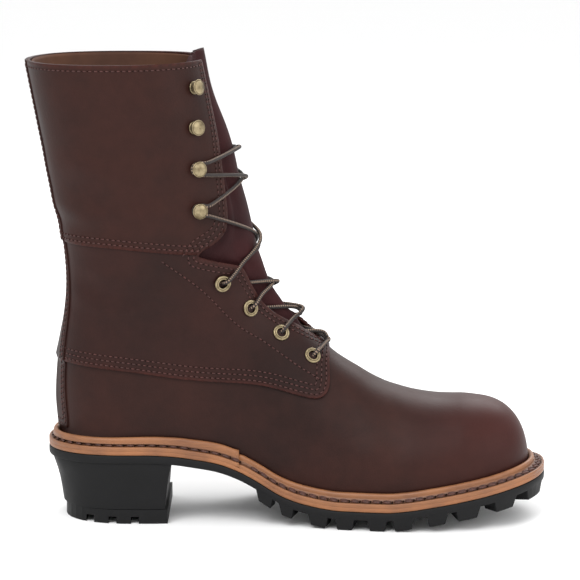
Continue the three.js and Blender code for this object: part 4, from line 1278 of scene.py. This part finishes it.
eyeletSeats = {}
hookSeats = {}
for side, sideName in ((-1, "inner"), (1, "outer")):
    for i, place in enumerate(eyeletPlaces):
        at, out = seat(*place, side, panelSizes["quarter"])
        eyeletSeats[side, i] = (at, out)
        piece = turnedPiece(f"eyelet.{sideName}.{i + 1}", eyeletProfile,
                            at + out * fitting["lift"], out, True)
        finished(piece, f"eyelet_{sideName}_{i + 1}")
    for i, place in enumerate(hookPlaces):
        at, out = seat(*place, side, shaftOffset)
        hookSeats[side, i] = (at, out)
        piece = turnedPiece(f"hook.{sideName}.{i + 1}", hookProfile, at + out * fitting["lift"], out, False)
        finished(piece, f"hook_{sideName}_{i + 1}")
print("boot: eyelets and hooks ready")

# The lace, in three runs: a bar over the lowest eyelets, then a crossing from each side up to the hooks
laceSizes = {"radius": 1.2, "sides": 10, "step": 1.2, "overTongue": 1.3, "under": -1.9, "stem": 3.4}


# A point in front, seen from the front, at a height over the form
def inFront(y, z, offset):
    start = [[0.66 * last["legDepth"], y, z]] if z > legLevel(0.4) else [[100.0, y, z]]
    return reach(start, [[1, 0, 0]], offset, rounds=26)[0]


def facingEdge(side, z, inset, offset):
    half = float(throatHalf(riseAt(z))) * last["legWidth"]
    return inFront(side * (half + inset), z, offset)


def outOfEyelet(side, i, toward):
    at, out = eyeletSeats[side, i]
    way = toward - at
    way = way - out * way.dot(out)
    way /= np.linalg.norm(way)
    return [at - out * 3.2, at - out * 0.4 + way * 0.5, at + out * 1.7 + way * 1.9,
            at + out * 2.2 + way * 4.5]


def intoEyelet(side, i, fromPoint):
    at, out = eyeletSeats[side, i]
    way = fromPoint - at
    way = way - out * way.dot(out)
    way /= np.linalg.norm(way)
    return [at - out * 3.9 + way * 5.0, at - out * 3.6 + way * 1.5]


def roundHook(side, i):
    at, out = hookSeats[side, i]
    up = np.array([0.0, 0.0, 1.0]) - out * out[2]
    up /= np.linalg.norm(up)
    ahead = np.cross(up, out) * -side
    ahead = ahead if ahead[0] > 0 else -ahead
    stem = laceSizes["stem"]
    lift = out * 2.1
    return [at + lift + ahead * 9 - up * (stem + 0.8), at + lift + ahead * 2 - up * stem,
            at + lift - ahead * 2.3 - up * 2.4, at + lift - ahead * stem,
            at + lift - ahead * 2.3 + up * 2.4, at + lift + ahead * 2 + up * stem,
            at + lift + ahead * 9 + up * (stem + 0.8)]


def crossingTop(z, lift=0.0):
    rise = riseAt(float(z))
    swell = float(tongueSizes["bulge"] * smoothStep(0.25, 0.36, rise) + tonguePad(rise))
    over = swell - 2.2 - tongueSizes["gap"] + laceSizes["overTongue"]
    return inFront(0.0, z, max(over, panelSizes["quarter"] + 0.9) + lift)


def laceRun(side):
    points = []
    at = side
    lift = 0.0 if side < 0 else 2.4  # one run lies over the other where they cross
    for i in range(3):
        low, high = eyeletSeats[at, i][0], eyeletSeats[-at, i + 1][0]
        middle = crossingTop(mix(low[2], high[2], 0.82), lift)
        edge = facingEdge(at, mix(low[2], middle[2], 0.55), 0.5, panelSizes["quarter"] + 1.5)
        points += outOfEyelet(at, i, edge) + [edge, middle]
        points.append(facingEdge(-at, mix(middle[2], high[2], 0.5), -1.0, laceSizes["under"] + 0.9))
        points += intoEyelet(-at, i + 1, middle)
        at = -at
    low, high = eyeletSeats[at, 3][0], hookSeats[-at, 0][0]
    middle = crossingTop(mix(low[2], high[2], 0.57), lift)
    edge = facingEdge(at, low[2] + 10, -1.0, 0.5)
    points += outOfEyelet(at, 3, edge) + [edge, middle] + roundHook(-at, 0)
    at = -at
    low, high = hookSeats[at, 0][0], hookSeats[-at, 1][0]
    points += [crossingTop(mix(low[2], high[2], 0.63), lift)] + roundHook(-at, 1)
    at = -at
    top = hookSeats[at, 1][0][2]
    points += [crossingTop(top + 9, lift + 0.6), facingEdge(-at, top + 4, -3.0, laceSizes["under"] + 1.4),
               facingEdge(-at, top - 2, 5.0, laceSizes["under"] - 0.5)]
    return points


def bottomBar():
    left = outOfEyelet(-1, 0, crossingTop(eyeletSeats[1, 0][0][2] + 4))
    right = outOfEyelet(1, 0, crossingTop(eyeletSeats[1, 0][0][2] + 4))
    z = eyeletSeats[1, 0][0][2] + 6
    return left + [inFront(-7, z, panelSizes["quarter"] + 1.6), inFront(0, z, panelSizes["quarter"] + 2.0),
                   inFront(7, z, panelSizes["quarter"] + 1.6)] + right[::-1]


def makeLace(name, points):
    line = evenly(rounded(points, 10), laceSizes["step"])
    print("boot:", name, round(len(line) * laceSizes["step"]), "mm")
    ahead = np.gradient(line, axis=0)
    ahead /= np.linalg.norm(ahead, axis=1)[:, None]
    side = np.cross(ahead[0], [0.0, 0.0, 1.0])
    side /= np.linalg.norm(side)
    sides = laceSizes["sides"]
    turn = 2 * math.pi * np.arange(sides) / sides
    loops = []
    for at, way in zip(line, ahead):
        side = side - way * side.dot(way)
        side /= np.linalg.norm(side)
        other = np.cross(way, side)
        ring = np.outer(np.cos(turn), side) + np.outer(np.sin(turn), other)
        loops.append(at + laceSizes["radius"] * ring)
    points = np.concatenate(loops)
    faces = bridge(loops) + [tuple(range(sides))[::-1], tuple(len(points) - sides + j for j in range(sides))]
    piece = makePiece(name, points, faces, plaitedLace)
    layer = piece.data.uv_layers.new(name="along")
    for polygon in piece.data.polygons:
        if len(polygon.vertices) != 4:
            continue
        shares = [v % sides for v in polygon.vertices]
        wraps = 0 in shares and sides - 1 in shares
        for loop, v, share in zip(polygon.loop_indices, polygon.vertices, shares):
            around = 1.0 if wraps and share == 0 else share / sides
            layer.data[loop].uv = ((v // sides) * laceSizes["step"], around)
    turnOut(piece)
    return finished(piece, "lace")


makeLace("lace.bar", bottomBar())
makeLace("lace.inner", laceRun(-1))
makeLace("lace.outer", laceRun(1))
print("boot: laces ready")


# Stitches: one tree lays a thread and, at one end of each stitch, a small dark disc of painted shade for its
# needle hole, on points that know their run and their surface
def stitchTree():
    tree = bpy.data.node_groups.new("stitchRow", "GeometryNodeTree")
    face = tree.interface
    face.new_socket("Geometry", in_out="INPUT", socket_type="NodeSocketGeometry")
    for label, value in (("Length", 0.0024), ("Width", 0.0008), ("Height", 0.0006), ("HoleShade", 0.0005)):
        face.new_socket(label, in_out="INPUT", socket_type="NodeSocketFloat").default_value = value
    face.new_socket("Seed", in_out="INPUT", socket_type="NodeSocketInt").default_value = 3
    face.new_socket("Thread", in_out="INPUT", socket_type="NodeSocketMaterial")
    face.new_socket("Dark", in_out="INPUT", socket_type="NodeSocketMaterial")
    face.new_socket("Geometry", in_out="OUTPUT", socket_type="NodeSocketGeometry")
    given = put(tree, "NodeGroupInput").outputs
    run = put(tree, "GeometryNodeInputNamedAttribute", {"Name": "run"}, data_type="FLOAT_VECTOR")
    out = put(tree, "GeometryNodeInputNamedAttribute", {"Name": "out"}, data_type="FLOAT_VECTOR")
    along = put(tree, "FunctionNodeAlignRotationToVector", {"Vector": run.outputs["Attribute"]}, axis="X")
    turned = put(tree, "FunctionNodeAlignRotationToVector", {
        "Rotation": along.outputs["Rotation"], "Vector": out.outputs["Attribute"]}, axis="Z", pivot_axis="X")
    vary = put(tree, "FunctionNodeRandomValue", {"Min": (0.92, 0.9, 0.9), "Max": (1.06, 1.12, 1.1),
                                                 "Seed": given["Seed"]}, data_type="FLOAT_VECTOR")
    size = put(tree, "ShaderNodeCombineXYZ", {
        "X": given["Length"], "Y": given["Width"], "Z": given["Height"]})
    ball = put(tree, "GeometryNodeMeshUVSphere", {"Segments": 6, "Rings": 5, "Radius": 0.5})
    thread = put(tree, "GeometryNodeTransform", {
        "Geometry": ball.outputs["Mesh"], "Scale": size.outputs["Vector"]})
    laid = put(tree, "GeometryNodeInstanceOnPoints", {
        "Points": given["Geometry"], "Instance": thread.outputs["Geometry"],
        "Rotation": turned.outputs["Rotation"], "Scale": vary.outputs["Value"]})
    # A flattened dark disc at each stitch's end: painted shade standing for the needle hole
    dot = put(tree, "GeometryNodeMeshUVSphere", {"Segments": 6, "Rings": 3, "Radius": given["HoleShade"]})
    flat = put(tree, "GeometryNodeTransform", {"Geometry": dot.outputs["Mesh"], "Scale": (1.0, 1.0, 0.5)})
    holeShades = put(tree, "GeometryNodeInstanceOnPoints", {
        "Points": given["Geometry"], "Instance": flat.outputs["Geometry"],
        "Rotation": turned.outputs["Rotation"]})
    half = put(tree, "ShaderNodeMath", {0: given["Length"], 1: 0.54}, operation="MULTIPLY")
    shift = put(tree, "ShaderNodeCombineXYZ", {"X": half.outputs["Value"]})
    moved = put(tree, "GeometryNodeTranslateInstances", {
        "Instances": holeShades.outputs["Instances"], "Translation": shift.outputs["Vector"],
        "Local Space": True})
    painted = []
    for made, material in ((laid.outputs["Instances"], "Thread"), (moved.outputs["Instances"], "Dark")):
        real = put(tree, "GeometryNodeRealizeInstances", {"Geometry": made})
        painted.append(put(tree, "GeometryNodeSetMaterial", {
            "Geometry": real.outputs["Geometry"], "Material": given[material]}).outputs["Geometry"])
    joined = put(tree, "GeometryNodeJoinGeometry")
    for socket in painted:
        tree.links.new(socket, joined.inputs["Geometry"])
    soft = put(tree, "GeometryNodeSetShadeSmooth", {"Geometry": joined.outputs["Geometry"]})
    done = put(tree, "NodeGroupOutput")
    tree.links.new(soft.outputs["Geometry"], done.inputs["Geometry"])
    return tree


stitches = stitchTree()
# The disc's near-black brown is painted shade, where a needle hole lies in shadow
holeShadeMaterial, holeShadeTree, holeShadeSurface, holeShadePlace = shaderMaterial("needleHoleShade", 0.9, specular=0.1)
holeShadeTree.links.new(ramp(holeShadeTree, noise(holeShadeTree, holeShadePlace, 900.0), [
    (0.3, screen(18, 10, 8)), (0.7, screen(32, 18, 14))]), holeShadeSurface.inputs["Base Color"])


# Lays stitches on rows of spots: place, run and outward direction in millimetres
def sew(name, spots, sizes, thread, seed=3):
    spots = np.concatenate(spots)
    mesh = bpy.data.meshes.new(name + ".points")
    mesh.from_pydata(toWorld(spots[:, :3]).tolist(), [], [])
    for label, block in (("run", spots[:, 3:6]), ("out", spots[:, 6:9])):
        layer = mesh.attributes.new(label, "FLOAT_VECTOR", "POINT")
        layer.data.foreach_set("vector", np.ascontiguousarray(block, np.float32).ravel())
    holder = bpy.data.objects.new(name + ".points", mesh)
    scene.collection.objects.link(holder)
    modifier = holder.modifiers.new("stitches", "NODES")
    modifier.node_group = stitches
    values = {**sizes, "Seed": seed, "Thread": thread, "Dark": holeShadeMaterial}
    for item in stitches.interface.items_tree:
        if item.in_out == "INPUT" and item.name in values:
            modifier[item.identifier] = values[item.name]
    shown = holder.evaluated_get(bpy.context.evaluated_depsgraph_get())
    piece = bpy.data.objects.new(name, bpy.data.meshes.new_from_object(shown))
    piece.data.name = name
    scene.collection.objects.link(piece)
    bpy.data.objects.remove(holder)
    return finished(piece, None)


# Spots at an even pitch along a line whose columns are place and outward direction
def spotsAlong(line, pitch, offset, closed=False):
    gap = np.linalg.norm(line[0, :3] - line[-1, :3])
    closed = closed or gap < 3.0
    even = evenly(line, pitch, closed)
    if len(even) < 3:
        return np.zeros((0, 9))
    run = np.gradient(even[:, :3], axis=0)
    run /= np.linalg.norm(run, axis=1)[:, None]
    out = even[:, 3:6] / np.linalg.norm(even[:, 3:6], axis=1)[:, None]
    at = even[:, :3] + out * (np.asarray(offset(even[:, :3]) if callable(offset) else offset)
                              + folds(even[:, :3]))[:, None]
    return np.column_stack([at, run, out])[:-1 if closed else None]


def softened(line, rounds=6):
    for _ in range(rounds):
        line[1:-1] = line[1:-1] * 0.5 + (line[:-2] + line[2:]) * 0.25
    return line


# Rows of stitches that follow a panel's edge at set distances, kept where a test holds
def edgeRows(panel, edge, distances, pitch, offset, keep=None, shortest=12.0):
    columns, faces = panel
    border = np.concatenate([line for line in contours(base, baseFaces, edge(base[:, :3]), 0.0)])[:, :3]
    gap = nearTo(columns[:, :3], border[::2])
    spots = []
    for distance in distances:
        for line in contours(columns, faces, gap, distance):
            line = softened(line)
            if np.linalg.norm(np.diff(line[:, :3], axis=0), axis=1).sum() < shortest:
                continue
            row = spotsAlong(line, pitch, offset)
            if keep is not None and len(row):
                row = row[keep(row[:, :3])]
            spots.append(row)
    return spots


leatherStitch = {"Length": 0.0024, "Width": 0.00075, "Height": 0.0007, "HoleShade": 0.0005}
seams = {
    "pitch": 3.3, "proud": 0.1,
    "quarterEdge": (2.4, 5.4, 8.4),
    "throatEdge": (3.0, 6.0),
    "shaftEdge": (2.6, 5.6),
    "shaftCorner": (9.0,),
    "collar": (3.5,),
    "backstay": (2.0, 4.6),
    "belowEyelets": [(66, 166), (88.6, 148), (111, 124), (128.6, 112), (148.7, 98), (161, 90.5)],
}
quarterLift = panelSizes["quarter"] + seams["proud"]
shaftLift = shaftOffset + seams["proud"]
quarterPanel = cutPanel(quarterGap, throatGap, lambda p: 1.0 - shaftGap(p))
shaftPanel = cutPanel(shaftGap, throatGap, collarGap)


# A stitched line drawn in side view, on both sides of the boot
def drawnRows(line, pitch, offset):
    spots = []
    flat = evenly(np.column_stack([rounded(line), np.zeros(len(rounded(line)))]), pitch / 2)
    for side in (-1, 1):
        start = np.column_stack([flat[:, 0], 0 * flat[:, 0], flat[:, 1]])
        at = reach(start, [[0, side, 0]])
        near = base[[int(np.argmin(((base[:, :3] - spot) ** 2).sum(axis=1))) for spot in at]]
        at = at + near[:, 3:6] * ((near[:, :3] - at) * near[:, 3:6]).sum(axis=1)[:, None]
        spots.append(spotsAlong(np.column_stack([at, near[:, 3:6]]), pitch, offset))
    return spots


quarterSpots = edgeRows(quarterPanel, quarterGap, seams["quarterEdge"], seams["pitch"], quarterLift,
                        lambda p: throatGap(p) > 6)
quarterSpots += edgeRows(quarterPanel, throatGap, seams["throatEdge"], seams["pitch"], quarterLift,
                         lambda p: quarterGap(p) > 3)
quarterSpots += drawnRows(seams["belowEyelets"], seams["pitch"], quarterLift)
sew("stitches.quarters", quarterSpots, leatherStitch, redThread)
shaftSpots = edgeRows(shaftPanel, throatGap, seams["throatEdge"], seams["pitch"], shaftLift,
                      lambda p: (shaftGap(p) > 2.4) & (collarGap(p) > 2))
shaftSpots += edgeRows(shaftPanel, shaftGap, seams["shaftEdge"], seams["pitch"], shaftLift,
                       lambda p: throatGap(p) > 3)
shaftSpots += edgeRows(shaftPanel, throatGap, seams["shaftCorner"], seams["pitch"], shaftLift,
                       lambda p: p[:, 2] < legLevel(0.6))
shaftSpots += edgeRows(shaftPanel, collarGap, seams["collar"], seams["pitch"], shaftLift,
                       lambda p: throatGap(p) > 3)
sew("stitches.shaft", shaftSpots, leatherStitch, redThread, seed=5)
stripPanel = (stripColumns, stripFaces)
stripSpots = edgeRows(stripPanel, backStrip, seams["backstay"], seams["pitch"],
                      lambda p: layerOffset(p) + seams["proud"], lambda p: collarGap(p) > 2)
sew("stitches.back", stripSpots, leatherStitch, redThread, seed=7)

# The welt's lockstitch: two slanting rows of thick thread side by side
weltStitch = {"Length": 0.0063, "Width": 0.0019, "Height": 0.0015, "HoleShade": 0.0006, "pitch": 6.7,
              "rows": [(-4.9, 6.15), (-3.3, 5.75)], "slant": 0.22}


def weltSpots(out, height, shift):
    line = soleLoop(lambda x: marginAt(x) + out, height)
    line = np.column_stack([line, np.tile([0.0, 0.0, 1.0], (len(line), 1))])
    even = evenly(line, weltStitch["pitch"], closed=True)[:-1]
    ahead = (np.roll(even[:, :3], -1, axis=0) - np.roll(even[:, :3], 1, axis=0)) / 2
    ahead /= np.linalg.norm(ahead, axis=1)[:, None]
    flat = np.column_stack([ahead[:, 1], -ahead[:, 0], 0 * ahead[:, 0]])
    up = np.array([0, 0, 1.0]) * 0.93 + flat * 0.36
    run = ahead + flat * weltStitch["slant"]
    joint = sole["joint"] * last["length"]
    at = even[:, :3] + ahead * shift
    clear = (np.abs(at[:, 0] - joint) > 3.2) | (at[:, 1] > 0)
    return np.column_stack([at, run, up])[clear]


weltSizes = {key: weltStitch[key] for key in ("Length", "Width", "Height", "HoleShade")}
sew("stitches.welt", [weltSpots(out, height, i * weltStitch["pitch"] / 2)
                      for i, (out, height) in enumerate(weltStitch["rows"])],
    weltSizes, darkThread, 11)
print("boot: stitches ready")

# The camera stands where the photograph's did and takes in the whole boot
view = {"distance": 1.7, "elevation": 10.0, "lens": 168.0}
low, high = [Vector(corner) for corner in cadBox]
target = Vector(((low.x + high.x) / 2, 0.0, 0.142))
tilt = math.radians(view["elevation"])
camera = bpy.data.objects.new("camera", bpy.data.cameras.new("camera"))
camera.location = target + Vector((0, -math.cos(tilt), math.sin(tilt))) * view["distance"]
camera.rotation_euler = (target - camera.location).to_track_quat("-Z", "Y").to_euler()
camera.data.lens = view["lens"]
camera.data.sensor_width = 36.0
scene.collection.objects.link(camera)
scene.camera = camera

# A pale floor and soft studio light
stage = {"floor": screen(246, 246, 246), "world": 1.06}
floorMesh = bpy.data.meshes.new("floor")
floorMesh.from_pydata([(-6, -6, 0), (6, -6, 0), (6, 6, 0), (-6, 6, 0)], [], [(0, 1, 2, 3)])
floor = bpy.data.objects.new("floor", floorMesh)
floorMaterial, floorTree, floorSurface, floorPlace = shaderMaterial("paleFloor", 0.7, specular=0.2)
floorSurface.inputs["Base Color"].default_value = stage["floor"]
floorMesh.materials.append(floorMaterial)
scene.collection.objects.link(floor)

world = bpy.data.worlds.new("studio")
world.use_nodes = True
world.node_tree.nodes["Background"].inputs["Color"].default_value = (1, 1, 1, 1)
world.node_tree.nodes["Background"].inputs["Strength"].default_value = stage["world"]
scene.world = world
scene.view_settings.view_transform = "Standard"  # white stays white
lamps = [
    {"name": "key", "at": (-0.5, -1.1, 1.5), "size": 1.1, "power": 22.0},
    {"name": "fill", "at": (1.3, -0.9, 0.8), "size": 1.2, "power": 8.0},
    {"name": "back", "at": (0.6, 1.2, 1.3), "size": 1.0, "power": 16.0},
]
for lamp in lamps:
    data = bpy.data.lights.new(lamp["name"], "AREA")
    data.size = lamp["size"]
    data.energy = lamp["power"]
    light = bpy.data.objects.new(lamp["name"], data)
    light.location = lamp["at"]
    light.rotation_euler = (Vector((0, 0, 0.12)) - light.location).to_track_quat("-Z", "Y").to_euler()
    scene.collection.objects.link(light)

print("boot: scene ready")
